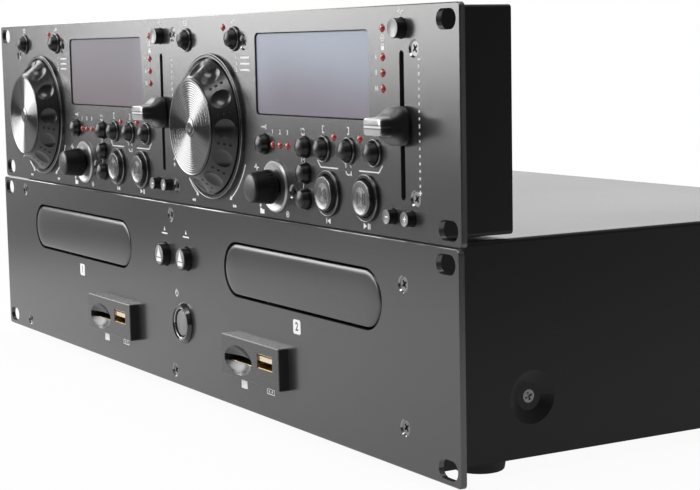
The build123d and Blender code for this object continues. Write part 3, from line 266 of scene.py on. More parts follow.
# %% Plastics and metals
def plastic(name, colour, rough, peel=0.04, grain=900.0, coat=0.0, gloss=0.5):
    finish = Finish(name)
    where, _ = finish.place()
    skin = finish.noise(where, grain)
    drift = finish.noise(where, 60.0)
    light = tuple(min(1.0, part * 1.15 + 0.002) for part in colour[:3]) + (1.0,)
    return finish.surface(base_color=finish.blend(drift, colour, light), metallic=0.0,
                          roughness=(drift - 0.5) * 0.10 + (skin - 0.5) * 0.06 + rough,
                          coat_weight=coat, coat_roughness=0.12, specular_ior_level=gloss,
                          normal=finish.bump(skin, peel, 0.0002))


def plated(name, colour, rough, scratch=0.06):
    finish = Finish(name)
    where, _ = finish.place()
    lines = finish.noise(where, 1800.0, 3.0, 0.7, (1.0, 1.0, 9.0))
    tarnish = finish.noise(where, 300.0)
    dark = tuple(part * 0.7 for part in colour[:3]) + (1.0,)
    return finish.surface(base_color=finish.blend(tarnish, dark, colour), metallic=1.0,
                          roughness=(lines - 0.5) * 0.2 + rough,
                          normal=finish.bump(lines, scratch, 0.00005))


button_black = plastic("button_black", grey(0.008), 0.30, gloss=0.4)
gloss_black = plastic("gloss_black", grey(0.012), 0.10, 0.01, coat=0.4)
ring_black = plastic("ring_black", grey(0.012), 0.22, 0.02)
knob_black = plastic("knob_black", grey(0.004), 0.46, 0.06, gloss=0.22)
socket_black = plastic("socket_black", grey(0.02), 0.35, 0.05)
soft_grey = plastic("soft_grey", grey(0.19), 0.38, 0.05)
pale_grey = plastic("pale_grey", grey(0.42), 0.30, 0.03)
cream = plastic("cream", (0.72, 0.62, 0.46, 1.0), 0.4, 0.03)
jack_red = plastic("jack_red", (0.45, 0.02, 0.02, 1.0), 0.35, 0.03)
rubber_black = plastic("rubber_black", grey(0.02), 0.75, 0.25, 500.0)
print_white = plastic("print_white", grey(0.86), 0.5, 0.05, 2500.0)
mark_dark = plastic("mark_dark", grey(0.05), 0.5, 0.05, 2500.0)
screw_metal = plated("screw_metal", grey(0.24), 0.34)
seat_metal = plated("seat_metal", grey(0.34), 0.16, 0.03)
lip_metal = plated("lip_metal", grey(0.34), 0.26)
bright_metal = plated("bright_metal", grey(0.72), 0.22)
collar_metal = plated("collar_metal", grey(0.46), 0.40, 0.03)
gold = plated("gold", (0.90, 0.68, 0.38, 1.0), 0.25)
print("plastics and metals ready")

# %% [markdown]
# ## Spun metal
#
# The plates of the jog wheels and the faces of the two big buttons are turned metal. Light
# runs across the grooves, so a spun face shows a bright bow tie. The plates get real grooves
# in their mesh below; the fine turning marks that are too small to model are a bump of rings
# round the axis of each piece.


# %% Spun faces
def middle(node):
    """Middle of a node's box, at the height of its front."""
    low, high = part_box(node)
    return Vector(((low.x + high.x) / 2, low.y, (low.z + high.z) / 2))


def spun(name, centre, level, rough, pitch, strength, painted_groove_shade=None):
    """Turned metal. Deep grooves, if any, are given as (outermost one, pitch): their valleys are painted dark
    as shade and their crests light as highlight.
    """
    finish = Finish(name)
    where, (x, _, z) = finish.place()
    out = ((x - centre.x) ** 2.0 + (z - centre.z) ** 2.0) ** 0.5
    wander = finish.noise(where, 90.0, 1.0)
    rings = (out * (2 * math.pi / pitch)).sine()
    fine = (out * (2 * math.pi / (pitch * 0.37)) + wander).sine()
    colour = finish.blend(rings * 0.25 + 0.5, grey(level * 0.85), grey(level * 1.1))
    # painted shade and highlight: dark valleys and light crests stand in for how light falls in the grooves
    if painted_groove_shade:
        outermost, step = painted_groove_shade
        valley_shade = ((outermost - out) * (2 * math.pi / step) + math.pi / 2).sine() * 0.5 + 0.5
        colour = finish.blend(valley_shade, grey(level * 1.55), grey(level * 0.22))
    return finish.surface(base_color=colour, metallic=1.0, roughness=fine * 0.02 + rough,
                          normal=finish.bump(rings + fine * 0.3, strength, 0.00004))


# %% [markdown]
# ## Lamps, windows and boards
#
# The indicator lamps are clear red domes with a slight glow. Behind each display window lies a
# liquid crystal cell. Its colour runs from blue-grey at the top to mauve at the bottom, and is
# darker on the left deck: this lighter top and darker left deck are a painted reflection of the
# studio. The boards inside the cases are green laminate with copper tracks under the lacquer.


# %% Lamps, windows and boards
def lamp_red():
    finish = Finish("lamp_red")
    where, _ = finish.place()
    cloud = finish.noise(where, 700.0)
    colour = finish.blend(cloud, (0.30, 0.010, 0.009, 1), (0.52, 0.022, 0.018, 1))
    return finish.surface(base_color=colour, roughness=cloud * 0.05 + 0.12, coat_weight=0.5,
                          emission_color=colour, emission_strength=0.08)


def window_glass():
    finish = Finish("window_glass")
    where, (x, _, z) = finish.place()
    low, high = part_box("display_windows")
    up = (z - low.z) / (high.z - low.z)
    far_deck = 1.0 - x.ramp(-0.06, 0.02)
    cloud = finish.noise(where, 14.0)
    # painted reflection: lighter towards the top of the glass and darker on the left deck; the cloud is a
    # random tone
    reflection_and_cloud = (1.0 - up) * 0.8 + (cloud - 0.5) * 0.5
    lilac = finish.blend(reflection_and_cloud.ramp(0.0, 0.9), (0.39, 0.43, 0.51, 1), (0.185, 0.163, 0.205, 1))
    mauve = finish.blend(reflection_and_cloud.ramp(0.0, 0.9), (0.215, 0.20, 0.225, 1), (0.155, 0.125, 0.145, 1))
    shown = finish.blend(far_deck, lilac, mauve)
    cells = finish.noise(where, 3000.0, 1.0)
    return finish.surface(base_color=shown, roughness=cells * 0.04 + 0.40, specular_ior_level=0.22,
                          normal=finish.bump(cells, 0.01, 0.00005))


def circuit_green(name, sockets_from=None):
    """Green laminate. What stands further back than a given y is a black moulded socket."""
    finish = Finish(name)
    where, (_, y, _) = finish.place()
    tracks = finish.noise(where, 220.0, 1.0, 0.5, (6.0, 1.0, 1.0)).ramp(0.48, 0.52)
    colour = finish.blend(tracks, (0.01, 0.06, 0.025, 1), (0.02, 0.12, 0.05, 1))
    if sockets_from:
        colour = finish.blend(y.ramp(sockets_from - MM, sockets_from), colour, grey(0.02))
    return finish.surface(base_color=colour, roughness=tracks * 0.1 + 0.3,
                          normal=finish.bump(tracks, 0.2, 0.0001))


lamp = lamp_red()
glass = window_glass()
board = circuit_green("circuit_green")
deck_board = circuit_green("deck_board_green", -0.098)
print("lamps, windows and boards:", lamp.name, glass.name, board.name, deck_board.name)

# %% [markdown]
# ## Which piece has which finish
#
# The nodes of the frame already have the right shapes. Each name is looked up by its first
# words, so that a left and a right piece share a line.

# %% Finishes of the frame's own pieces
FINISHES = {
    "controller_panel": panel_paint, "player_panel": player_paint,
    "controller_case": case_paint, "top_cover": case_paint, "chassis": case_paint,
    "controller_board": deck_board, "circuit_boards": board, "disc_drives": soft_grey,
    "display_windows": glass, "indicator_leds": lamp, "button_bezels": ring_black,
    "power_bezel": gloss_black, "power_button": soft_grey, "media_ports": port_paint,
    "controller_screws": screw_metal, "player_screws": screw_metal, "feet": rubber_black,
    "rear_sockets": socket_black, "disc_tray": door_paint, "disc_spindle": button_black,
    "track_knob": knob_black, "track_plunger": soft_grey, "jog_wheel": ring_black,
    "pitch_fader": button_black,
}


def finish_of(name):
    for start, finish in FINISHES.items():
        if name.startswith(start):
            return finish
    return button_black


for name, node in nodes.items():
    material = finish_of(name)
    if not node.material_slots:
        node.data.materials.append(material)
    for material_slot in node.material_slots:
        material_slot.material = material
print("finished", len(nodes), "nodes")

# %% [markdown]
# ## Drawing on a panel
#
# Everything that is added below stands on one of the two fronts, so it is drawn as a maker
# would dimension it: in millimetres across from the panel's middle, up from its bottom edge,
# and out from its front. One class gathers turned and flat shapes into a mesh. Each shape is
# closed, so the meshes are solid and have no stray faces.


# %% Shapes on a front
class Front:
    """The front of a panel: x from its middle, z from its bottom edge, out towards the viewer."""

    def __init__(self, node, body):
        low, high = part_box(node)
        self.corner = Vector(((low.x + high.x) / 2, low.y, low.z))
        self.body = body

    def at(self, x, z, out):
        return self.corner + Vector((x, -out, z)) * MM


FILM, SUNK = 0.06, 0.02  # how far print stands proud, and how far it reaches in
SHARP_ANGLE = math.radians(32)


def placed(name, data):
    """An object in the scene that shows the data."""
    made = bpy.data.objects.new(name, data)
    bpy.context.scene.collection.objects.link(made)
    return made


def around(x, z, points):
    """Points given from a middle, as points on the front."""
    return [(x + across, z + up) for across, up in points]


class Drawing:
    """A mesh in the making on a front."""

    def __init__(self, front):
        self.front = front
        self.mesh = bmesh.new()

    def turn(self, x, z, outline, steps=96):
        """A closed outline of (radius, out), turned about the line that leaves the front at x, z."""
        turns = [2 * math.pi * step / steps for step in range(steps)]
        rings = []
        for radius, out in outline:
            if radius == 0:
                rings.append([self.mesh.verts.new(self.front.at(x, z, out))] * steps)
            else:
                rings.append([self.mesh.verts.new(self.front.at(
                    x + radius * math.cos(turn), z + radius * math.sin(turn), out)) for turn in turns])
        follows = rings[1:] if outline[0][0] == 0 else rings[1:] + rings[:1]
        for ring, following in zip(rings, follows):
            for step in range(steps):
                after = (step + 1) % steps
                corners = [ring[step], ring[after], following[after], following[step]]
                self.mesh.faces.new(list(dict.fromkeys(corners)))
        return self

    def ring(self, x, z, inner, outer, steps=32):
        """A printed ring, or a disc when the inner radius is 0."""
        self.turn(x, z, [(inner, -SUNK), (outer, -SUNK), (outer, FILM), (inner, FILM)], steps)

    def flat(self, points, out=0.0, thick=FILM):
        """A flat shape of (x, z) points that stands proud by its thickness."""
        front = [self.mesh.verts.new(self.front.at(x, z, out + thick)) for x, z in points]
        back = [self.mesh.verts.new(self.front.at(x, z, out - SUNK)) for x, z in points]
        self.mesh.faces.new(front)
        self.mesh.faces.new(back[::-1])
        for one, two, three, four in zip(front, front[1:] + front[:1], back[1:] + back[:1], back):
            self.mesh.faces.new((one, two, three, four))

    def loft(self, sections):
        """A closed shape through sections, each how far out it is and its ring of (x, z) points."""
        rings = [[self.mesh.verts.new(self.front.at(x, z, out)) for x, z in points]
                 for out, points in sections]
        for ring, following in zip(rings, rings[1:]):
            for step in range(len(ring)):
                after = (step + 1) % len(ring)
                self.mesh.faces.new((ring[step], ring[after], following[after], following[step]))
        self.mesh.faces.new(rings[0][::-1])
        self.mesh.faces.new(rings[-1])

    def line(self, points, width=0.5, out=0.0, thick=FILM):
        """A line of even width through (x, z) points."""
        left, right = [], []
        for place, point in enumerate(points):
            before = Vector(points[max(place - 1, 0)])
            after = Vector(points[min(place + 1, len(points) - 1)])
            here = Vector(point)
            first = (here - before).normalized() if place else (after - here).normalized()
            second = (after - here).normalized() if place < len(points) - 1 else first
            along = (first + second).normalized()
            reach = width / 2 / max(along.dot(first), 0.4)
            side = Vector((-along.y, along.x)) * reach
            left.append(tuple(here + side))
            right.append(tuple(here - side))
        self.flat(left + right[::-1], out, thick)

    def arc(self, x, z, radius, start, end, width=0.5, out=0.0):
        count = max(6, int(abs(end - start) / 8))
        turns = [math.radians(start + (end - start) * step / count) for step in range(count + 1)]
        self.line([(x + radius * math.cos(turn), z + radius * math.sin(turn)) for turn in turns], width, out)

    def arrow(self, x, z, angle, size=1.4, out=0.0, thick=FILM):
        """A filled arrow head with its tip at x, z, which points along the angle."""
        turn = math.radians(angle)
        along, across = Vector((math.cos(turn), math.sin(turn))), Vector((-math.sin(turn), math.cos(turn)))
        tip = Vector((x, z))
        tail = tip - along * size
        self.flat([tuple(tip), tuple(tail + across * size * 0.5), tuple(tail - across * size * 0.5)],
                  out, thick)

    def box(self, x, z, width, height, out=0.0, thick=FILM):
        half, up = width / 2, height / 2
        self.flat([(x - half, z - up), (x + half, z - up), (x + half, z + up), (x - half, z + up)],
                  out, thick)

    def number(self, text, x, z, size, out=0.0, thick=FILM):
        """Figures in a plain type, as a solid of their own."""
        curve = bpy.data.curves.new("figures", "FONT")
        curve.body, curve.size = text, size
        curve.align_x, curve.align_y = "CENTER", "CENTER"
        curve.offset, curve.extrude, curve.resolution_u = size * 0.02, thick / 2 + 0.01, 3
        holder = bpy.data.objects.new("figures", curve)
        solid = bpy.data.meshes.new_from_object(holder)
        for vertex in solid.vertices:
            across, up, depth = vertex.co
            vertex.co = self.front.at(x + across, z + up, out + thick / 2 - 0.01 + depth)
        self.mesh.from_mesh(solid)
        bpy.data.objects.remove(holder)
        bpy.data.curves.remove(curve)
        bpy.data.meshes.remove(solid)

    def piece(self, name, material, slot, body=None):
        """Ends the drawing: a smooth mesh with sharp edges kept, which rides on a body."""
        bmesh.ops.recalc_face_normals(self.mesh, faces=self.mesh.faces)
        data = bpy.data.meshes.new(name)
        self.mesh.to_mesh(data)
        self.mesh.free()
        data.shade_smooth()
        data.set_sharp_from_angle(angle=SHARP_ANGLE)
        data.materials.append(material)
        made = placed(name, data)
        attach(made, body or self.front.body)
        print(name, len(data.polygons), "faces")
        return made


upper = Front("controller_panel", "controller")
lower = Front("player_panel", "player")
DECK_PITCH = 216.3
DECKS = {"left": -DECK_PITCH, "right": 0.0}
print("fronts at", upper.corner, lower.corner)

# %% [markdown]
# ## Jog plates
#
# The middle of each jog wheel is a turned aluminium plate with concentric grooves, a rounded
# lip and a small boss. Grooves nearly a millimetre wide catch the light one by one, so they
# are modelled: the outline steps down and up once for each groove, and is turned round the
# wheel's axis. The piece lies on the wheel's own plate and spins with it.

# %% Jog plates
JOG_X, JOG_Z, JOG_HEIGHT = 40.0, 37.8, 10.8
PLATE_RADIUS, BOSS_RADIUS = 21.85, 4.0
OUTER_GROOVE, GROOVE_PITCH, GROOVE_DEPTH, GROOVE_STEPS = PLATE_RADIUS - 1.25, 1.02, 0.20, 6


def plate_outline():
    """The plate's lip, its grooves from the outermost in, and its boss."""
    points = [(0, JOG_HEIGHT - 0.3), (PLATE_RADIUS, JOG_HEIGHT - 0.3), (PLATE_RADIUS, JOG_HEIGHT + 0.4),
              (PLATE_RADIUS - 0.15, JOG_HEIGHT + 0.62), (PLATE_RADIUS - 0.4, JOG_HEIGHT + 0.72),
              (PLATE_RADIUS - 0.75, JOG_HEIGHT + 0.68), (PLATE_RADIUS - 1.0, JOG_HEIGHT + 0.5)]
    radius = OUTER_GROOVE
    while radius - GROOVE_PITCH > BOSS_RADIUS:
        crest = JOG_HEIGHT + 0.34 + 0.012 * radius
        for step in range(GROOVE_STEPS):
            dip = (1 + math.cos(2 * math.pi * step / GROOVE_STEPS)) / 2
            points.append((radius - GROOVE_PITCH * step / GROOVE_STEPS, crest - GROOVE_DEPTH * dip))
        radius -= GROOVE_PITCH
    return points + [(BOSS_RADIUS, JOG_HEIGHT + 0.30), (BOSS_RADIUS - 0.1, JOG_HEIGHT + 0.62),
                     (BOSS_RADIUS - 0.4, JOG_HEIGHT + 0.78), (2.0, JOG_HEIGHT + 0.72),
                     (0, JOG_HEIGHT + 0.70)]


for side, shift in DECKS.items():
    plate_metal = spun(f"jog_plate_metal_{side}", middle(f"jog_wheel_{side}"), level=0.19, rough=0.15,
                       pitch=0.00030, strength=0.05, painted_groove_shade=(OUTER_GROOVE * MM, GROOVE_PITCH * MM))
    Drawing(upper).turn(JOG_X + shift, JOG_Z, plate_outline(), 160).piece(
        f"jog_plate_{side}", plate_metal, "jog_black", f"jog_wheel_{side}")

# %% [markdown]
# ## Finish of the fader caps
#
# A cap is one moulding of black plastic. Its ridge, which the finger holds, has a white line
# across its middle; the rest of the ridge is painted light grey as a painted reflection, and
# its two grooves are painted dark as painted shade. Behind the ridge the saddle is painted a
# lighter grey in its middle, a painted reflection on the ears, and black at the rounded ends,
# where the painted tones run out. The zones follow the cap's own box, so that they slide with it.


# %% Finish of the fader caps
def cap_finish(side):
    finish = Finish(f"fader_cap_{side}")
    where, (x, y, z) = finish.place()
    low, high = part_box(f"pitch_fader_{side}")
    centre = (low + high) / 2
    skin = finish.noise(where, 900.0)
    ends = abs(x - centre.x).ramp(5.0 * MM, 6.9 * MM)
    ridge = 1.0 - (y - low.y).ramp(4.0 * MM, 5.4 * MM)
    height = abs(z - centre.z)
    line = 1.0 - height.ramp(0.25 * MM, 0.45 * MM)
    cap_groove_shade = height.ramp(0.35 * MM, 0.5 * MM) * (1.0 - height.ramp(0.8 * MM, 1.0 * MM))
    # painted reflection: the middle of the saddle is painted lighter grey than the black ends
    ear_sheen = finish.blend(ends, grey(0.13), grey(0.018))
    # painted reflection and shade: the ridge is painted light, its two grooves dark
    ridge_sheen_and_groove_shade = finish.blend(cap_groove_shade * 0.7, grey(0.50), grey(0.10))
    front = finish.blend(line, ridge_sheen_and_groove_shade, grey(0.88))
    whole = finish.blend(ridge * (1.0 - ends), ear_sheen, front)
    return finish.surface(base_color=whole, metallic=ridge * (1.0 - line) * 0.4,
                          roughness=(skin - 0.5) * 0.08 + 0.30, normal=finish.bump(skin, 0.04, 0.0002))


# %% [markdown]
# ## Shape of the fader caps
#
# A cap is a saddle: its foot is a rounded block, and above and below the ridge its sides curve
# in, so that a finger tip rests there. It could be sculpted, but its sections across the panel
# are simple: rounded rectangles whose height shrinks towards the ridge. So the cap is lofted
# through such sections, and its lever is drawn out behind it through the slot.

# %% Shape of the fader caps
FADER_X, FADER_Z = 202.5, 43.05
CAP_SECTIONS = [(1.2, 6.9, 7.2, 3.2), (1.5, 7.15, 7.5, 3.2), (2.6, 7.25, 7.6, 3.2), (4.0, 7.15, 7.35, 3.2),
                (5.0, 7.0, 6.75, 3.3), (6.0, 6.9, 5.75, 3.5), (7.0, 6.85, 4.75, 4.0), (8.0, 6.8, 4.0, 5.0),
                (9.2, 6.75, 3.55, 6.0), (11.0, 6.7, 3.45, 7.0), (12.7, 6.65, 3.4, 7.0),
                (13.25, 6.5, 3.25, 6.0), (13.5, 6.2, 2.95, 5.0)]
LEVER_HALF_X, LEVER_HALF_Z, LEVER_END = 0.8, 3.8, -7.8
CAP_STEPS = 72


def rounded_section(x, half_width, half_height, power):
    """Points round a rounded rectangle. A higher power makes its corners sharper."""
    points = []
    for step in range(CAP_STEPS):
        turn = 2 * math.pi * (step + 0.5) / CAP_STEPS
        across, rise = math.cos(turn), math.sin(turn)
        points.append((x + math.copysign(abs(across) ** (2 / power), across) * half_width,
                       FADER_Z + math.copysign(abs(rise) ** (2 / power), rise) * half_height))
    return points


for side, shift in DECKS.items():
    cap = Drawing(upper)
    x = FADER_X + shift
    cap.loft([(out, rounded_section(x, *shape)) for out, *shape in CAP_SECTIONS])
    cap.box(x, FADER_Z, 2 * LEVER_HALF_X, 2 * LEVER_HALF_Z, LEVER_END, 1.6 - LEVER_END)
    made = cap.piece(f"fader_cap_{side}", cap_finish(side), "knob_black", f"pitch_fader_{side}")
    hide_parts(f"pitch_fader_{side}")

# %% [markdown]
# ## Lips of the rings
#
# The base ring of a jog wheel, the rings round the small buttons and the big buttons' rings
# have a thin polished lip, which shows as a bright line on the black. They are too thin for
# a colour to follow, so each is a turned ring of its own, sunk a little into what holds it.

# %% Ring lips
BUTTON_X = {"mode_button": 15.4, "program_button": 64.6, "source_button": 91.3, "loop_in_button": 142.6,
            "loop_out_button": 162.4, "reloop_button": 182.2, "cue_button": 145.9, "play_button": 175.8,
            "pitch_button": 202.5, "minus_button": 195.3, "plus_button": 208.2}
ROW_Z, PAIR_Z, BIG_Z, PIN_Z, PITCH_Z = 31.9, 77.2, 14.1, 8.4, 79.4
RINGED = {"mode_button": PAIR_Z, "program_button": PAIR_Z, "loop_in_button": ROW_Z,
          "loop_out_button": ROW_Z, "reloop_button": ROW_Z}
BIG = ("cue_button", "play_button")


def lip_outline(radius, out, width):
    """A small round-topped ring."""
    half = width / 2
    return [(radius + half, out - 0.2), (radius + half, out), (radius + half * 0.6, out + half * 0.7),
            (radius, out + half), (radius - half * 0.6, out + half * 0.7), (radius - half, out),
            (radius - half, out - 0.2)]


lips = Drawing(upper)
for shift in DECKS.values():
    for button, z in RINGED.items():
        lips.turn(BUTTON_X[button] + shift, z, lip_outline(5.20, 1.00, 0.20))
    for button in BIG:
        lips.turn(BUTTON_X[button] + shift, BIG_Z, lip_outline(9.10, 1.26, 0.30))
    lips.turn(JOG_X + shift, JOG_Z, lip_outline(32.75, 1.62, 0.34), 160)
lips.piece("ring_lips", lip_metal, "bezel_gloss")

# %% [markdown]
# ## Knob fronts and collars
#
# The track knob is a ribbed black skirt with a grey, slightly domed cap let into its front,
# and it stands in a dished silver collar. Cap and collar are turned parts on the real thing,
# so they are turned here; the cap rides on the knob and the collar stays with the panel.

# %% Knob caps and collars
KNOB_X, KNOB_Z = 100.4, 14.1
KNOB_CAP = [(0, 12.4), (5.75, 12.4), (5.72, 12.62), (5.4, 12.82), (4.2, 13.02), (2.4, 13.16), (0, 13.2)]
COLLAR = [(11.34, 0.0), (11.34, 0.55), (11.0, 1.05), (10.75, 1.27), (10.3, 1.3), (9.9, 1.22), (8.4, 1.05),
          (5.2, 0.9), (5.2, 0.0)]
for side, shift in DECKS.items():
    cap_metal = spun(f"knob_cap_metal_{side}", middle(f"track_knob_{side}"), level=0.07, rough=0.34,
                     pitch=0.0004, strength=0.08)
    Drawing(upper).turn(KNOB_X + shift, KNOB_Z, KNOB_CAP).piece(
        f"knob_cap_{side}", cap_metal, "knob_black", f"track_knob_{side}")
    Drawing(upper).turn(KNOB_X + shift, KNOB_Z, COLLAR, 128).piece(
        f"knob_collar_{side}", collar_metal, "bezel_gloss")

# %% [markdown]
# ## Button faces
#
# The two big buttons have turned metal faces with a raised edge. The pins have dished light
# fronts, and the eject buttons grey ones. Their marks are generic: a start and pause sign, a
# return sign, plus and minus, and the sign for opening. Each mark is a thin solid that rides
# with its button.

# %% Big button faces
BIG_FACE = [(0, 2.6), (6.86, 2.6), (6.86, 2.98), (6.74, 3.14), (6.5, 3.22), (6.25, 3.16), (6.05, 3.04),
            (4.0, 3.06), (0, 3.09)]
MARK_OUT, MARK_THICK = 3.08, 0.10
for side, shift in DECKS.items():
    for button in BIG:
        name, x = f"{button}_{side}", BUTTON_X[button] + shift
        face_metal = spun(f"{name}_metal", middle(name), level=0.17, rough=0.24, pitch=0.00033, strength=0.16)
        Drawing(upper).turn(x, BIG_Z, BIG_FACE).piece(f"{name}_face", face_metal, "button_black", name)
        mark = Drawing(upper)
        if button == "play_button":
            outline, bars, tall = [(-2.6, -2.2), (-2.6, 2.2), (0.5, 0), (-2.6, -2.2)], (1.6, 2.9), 4.3
        else:
            outline, bars, tall = [(2.0, 2.0), (-1.3, 0), (2.0, -2.0), (2.0, 2.0)], (-2.0,), 4.2
        mark.line(around(x, BIG_Z, outline), 0.42, MARK_OUT, MARK_THICK)
        for bar in bars:
            mark.box(x + bar, BIG_Z, 0.45, tall, MARK_OUT, MARK_THICK)
        mark.piece(f"{name}_mark", mark_dark, "button_black", name)

# %% Pin fronts and their signs
PIN_FACE = [(0, 3.1), (2.55, 3.1), (2.72, 3.5), (2.74, 3.62), (2.6, 3.7), (2.42, 3.64), (2.1, 3.44),
            (1.2, 3.34), (0, 3.32)]
PITCH_FACE = [(0, 3.15), (3.4, 3.2), (3.62, 3.85), (3.6, 3.96), (3.42, 4.0), (3.2, 3.92), (2.7, 3.62),
              (1.6, 3.42), (0, 3.38)]
for side, shift in DECKS.items():
    for button in ("minus_button", "plus_button"):
        name, x = f"{button}_{side}", BUTTON_X[button] + shift
        Drawing(upper).turn(x, PIN_Z, PIN_FACE, 64).piece(f"{name}_face", soft_grey, "button_black", name)
        sign = Drawing(upper)
        sign.box(x, PIN_Z, 2.1, 0.55, 3.36, 0.08)
        if button == "plus_button":
            sign.box(x, PIN_Z, 0.55, 2.1, 3.36, 0.07)
        sign.piece(f"{name}_sign", print_white, "button_black", name)
    Drawing(upper).turn(BUTTON_X["pitch_button"] + shift, PITCH_Z, PITCH_FACE, 80).piece(
        f"pitch_button_{side}_face", pale_grey, "button_black", f"pitch_button_{side}")

# %% Eject fronts and their signs
EJECT_X, EJECT_Z = {"left": -12.3, "right": 11.8}, 62.8
EJECT_TOP = 3.84
EJECT_FACE = [(0, 3.3), (4.85, 3.3), (4.85, 3.72), (4.6, 3.82), (0, EJECT_TOP)]
for side, x in EJECT_X.items():
    name = f"eject_button_{side}"
    Drawing(lower).turn(x, EJECT_Z, EJECT_FACE, 80).piece(f"{name}_face", soft_grey, "button_black", name)
    sign = Drawing(lower)
    sign.flat(around(x, EJECT_Z, [(-2.5, -1.0), (2.5, -1.0), (0, 3.9)]), EJECT_TOP)
    sign.box(x, EJECT_Z - 2.4, 5.4, 1.7, EJECT_TOP)
    sign.piece(f"{name}_sign", print_white, "button_black", name)

# %% [markdown]
# ## Tray doors
#
# A door is moulded with a slightly crowned face that rolls over at its rim, which is why it
# shows a bright upper edge, a dark middle and a lighter foot. A flat face with a bevel would
# mirror one tone. So each face is lofted through shrinking outlines with round ends, each a
# little further out than the last, and it rides on its tray.

# %% Tray doors
DOOR_X, DOOR_Z, DOOR_HALF_X, DOOR_HALF_Z = {"left": -122.4, "right": 119.4}, 62.9, 67.15, 11.3
DOOR_CROWN = [(0.0, -0.60), (0.02, -0.42), (0.20, -0.22), (0.50, -0.08), (1.0, 0.02), (2.0, 0.11),
              (3.8, 0.20), (6.2, 0.27), (9.0, 0.31), (11.0, 0.32)]
DOOR_END_STEPS = 28


def door_outline(x, inset):
    """Points round a shape with two round ends, drawn in by an inset."""
    radius = DOOR_HALF_Z - inset
    points = []
    for hand, start in ((1, -90), (-1, 90)):
        for step in range(DOOR_END_STEPS + 1):
            turn = math.radians(start + 180 * step / DOOR_END_STEPS)
            points.append((x + hand * (DOOR_HALF_X - DOOR_HALF_Z) + radius * math.cos(turn),
                           DOOR_Z + radius * math.sin(turn)))
    return points


for side, x in DOOR_X.items():
    door = Drawing(lower)
    door.loft([(out, door_outline(x, inset)) for inset, out in DOOR_CROWN])
    door.piece(f"tray_door_face_{side}", door_paint, "tray_black", f"disc_tray_{side}")

# %% [markdown]
# ## Seats of the screws
#
# Each screw sits a little below the panel in a conical seat of bare, shiny metal, which
# mirrors a light and shows as a crescent beside the head. The seats are thin cones that are
# turned into the panels' own sinks.

# %% Screw seats
UPPER_SCREWS = [(-211.0, 71.8), (-211.0, 16.0), (211.0, 71.8), (211.0, 16.0), (0.0, 80.1), (0.0, 8.4)]
DECK_SCREWS = [(73.2, 75.5), (115.9, 12.5)]
LOWER_SCREWS = [(-206.0, 82.4), (-206.0, 6.5), (203.3, 71.7), (203.3, 16.4), (-5.2, 82.5), (-5.2, 7.0)]
SEAT_CONE = [(3.44, 0.01), (2.84, -0.59), (2.84, -0.64), (3.44, -0.04)]
for front, name, places in (
        (upper, "controller_screw_seats",
         UPPER_SCREWS + [(x + shift, z) for shift in DECKS.values() for x, z in DECK_SCREWS]),
        (lower, "player_screw_seats", LOWER_SCREWS)):
    seats = Drawing(front)
    for x, z in places:
        seats.turn(x, z, SEAT_CONE, 48)
    seats.piece(name, seat_metal, "screw_black")

# %% [markdown]
# ## Power button
#
# A glossy black ring holds a grey button that sits lower than the ring's edge, with a thin
# polished line where the two meet.

# %% Power button ring
POWER_X, POWER_Z = 5.7, 31.3
POWER_FACE = [(0, 0.5), (5.9, 0.5), (5.9, 0.86), (5.6, 0.95), (0, 0.9)]
Drawing(lower).turn(POWER_X, POWER_Z, lip_outline(7.25, 1.42, 0.30)).piece(
    "power_ring_line", bright_metal, "bezel_gloss")
Drawing(lower).turn(POWER_X, POWER_Z, POWER_FACE, 80).piece(
    "power_button_face", soft_grey, "power_grey", "power_button")

# %% [markdown]
# ## Sockets of the media blocks
#
# Inside each rectangular opening is a folded steel shell round a cream tongue with four gold
# contacts. The card slot has a thin gold spring along its lower lip. They are small boxes with
# real thickness.

# %% Media sockets
USB_X, USB_Z, CARD_X, CARD_Z = 14.5, 1.7, -11.0, -1.1
SHELL_HALF_X, SHELL_HALF_Z, SHELL_WALL, SHELL_DEPTH = 6.85, 3.05, 0.28, 8.0
for side, block_x in MEDIA_X.items():
    x, z = block_x + USB_X, MEDIA_Z + USB_Z
    shell = Drawing(lower)
    for offset in (-SHELL_HALF_X, SHELL_HALF_X):
        shell.box(x + offset, z, SHELL_WALL, 6.3, MEDIA_REACH - 8.3, SHELL_DEPTH)
    for offset in (-SHELL_HALF_Z, SHELL_HALF_Z):
        shell.box(x, z + offset, 13.6, SHELL_WALL, MEDIA_REACH - 8.3, SHELL_DEPTH)
    shell.piece(f"usb_shell_{side}", gold, "port_grey")
    tongue = Drawing(lower)
    tongue.box(x, z + 1.0, 11.9, 2.1, MEDIA_REACH - 9.0, 8.2)
    tongue.piece(f"usb_tongue_{side}", cream, "port_grey")
    contacts = Drawing(lower)
    for place in range(4):
        contacts.box(x + (place - 1.5) * 2.4, z - 0.14, 1.1, 0.12, MEDIA_REACH - 8.5, 7.2)
    contacts.piece(f"usb_contacts_{side}", gold, "port_grey")
    x, z = block_x + CARD_X, MEDIA_Z + CARD_Z
    spring = Drawing(lower)
    spring.box(x, z - 1.42, 23.4, 0.22, MEDIA_REACH - 5.6, 3.1)
    spring.piece(f"card_spring_{side}", gold, "port_grey")

# %% [markdown]
# ## Print on the controller
#
# The front carries white print: the scale of the fader, the numbers of its ranges, the lines
# that join the loop buttons, and turning arrows at the jog wheels. Each button has a small
# sign of a common kind, such as a clock, a loop or a double arrow. A screen print is a film of
# paint a few hundredths of a millimetre thick, so the signs are thin solids, all in one piece.


# %% Signs
def play_pause_sign(sheet, x, z):
    sheet.flat(around(x, z, [(-2.6, -1.2), (-0.2, 0), (-2.6, 1.2)]))
    for bar in (0.9, 2.1):
        sheet.box(x + bar, z, 0.6, 2.3)


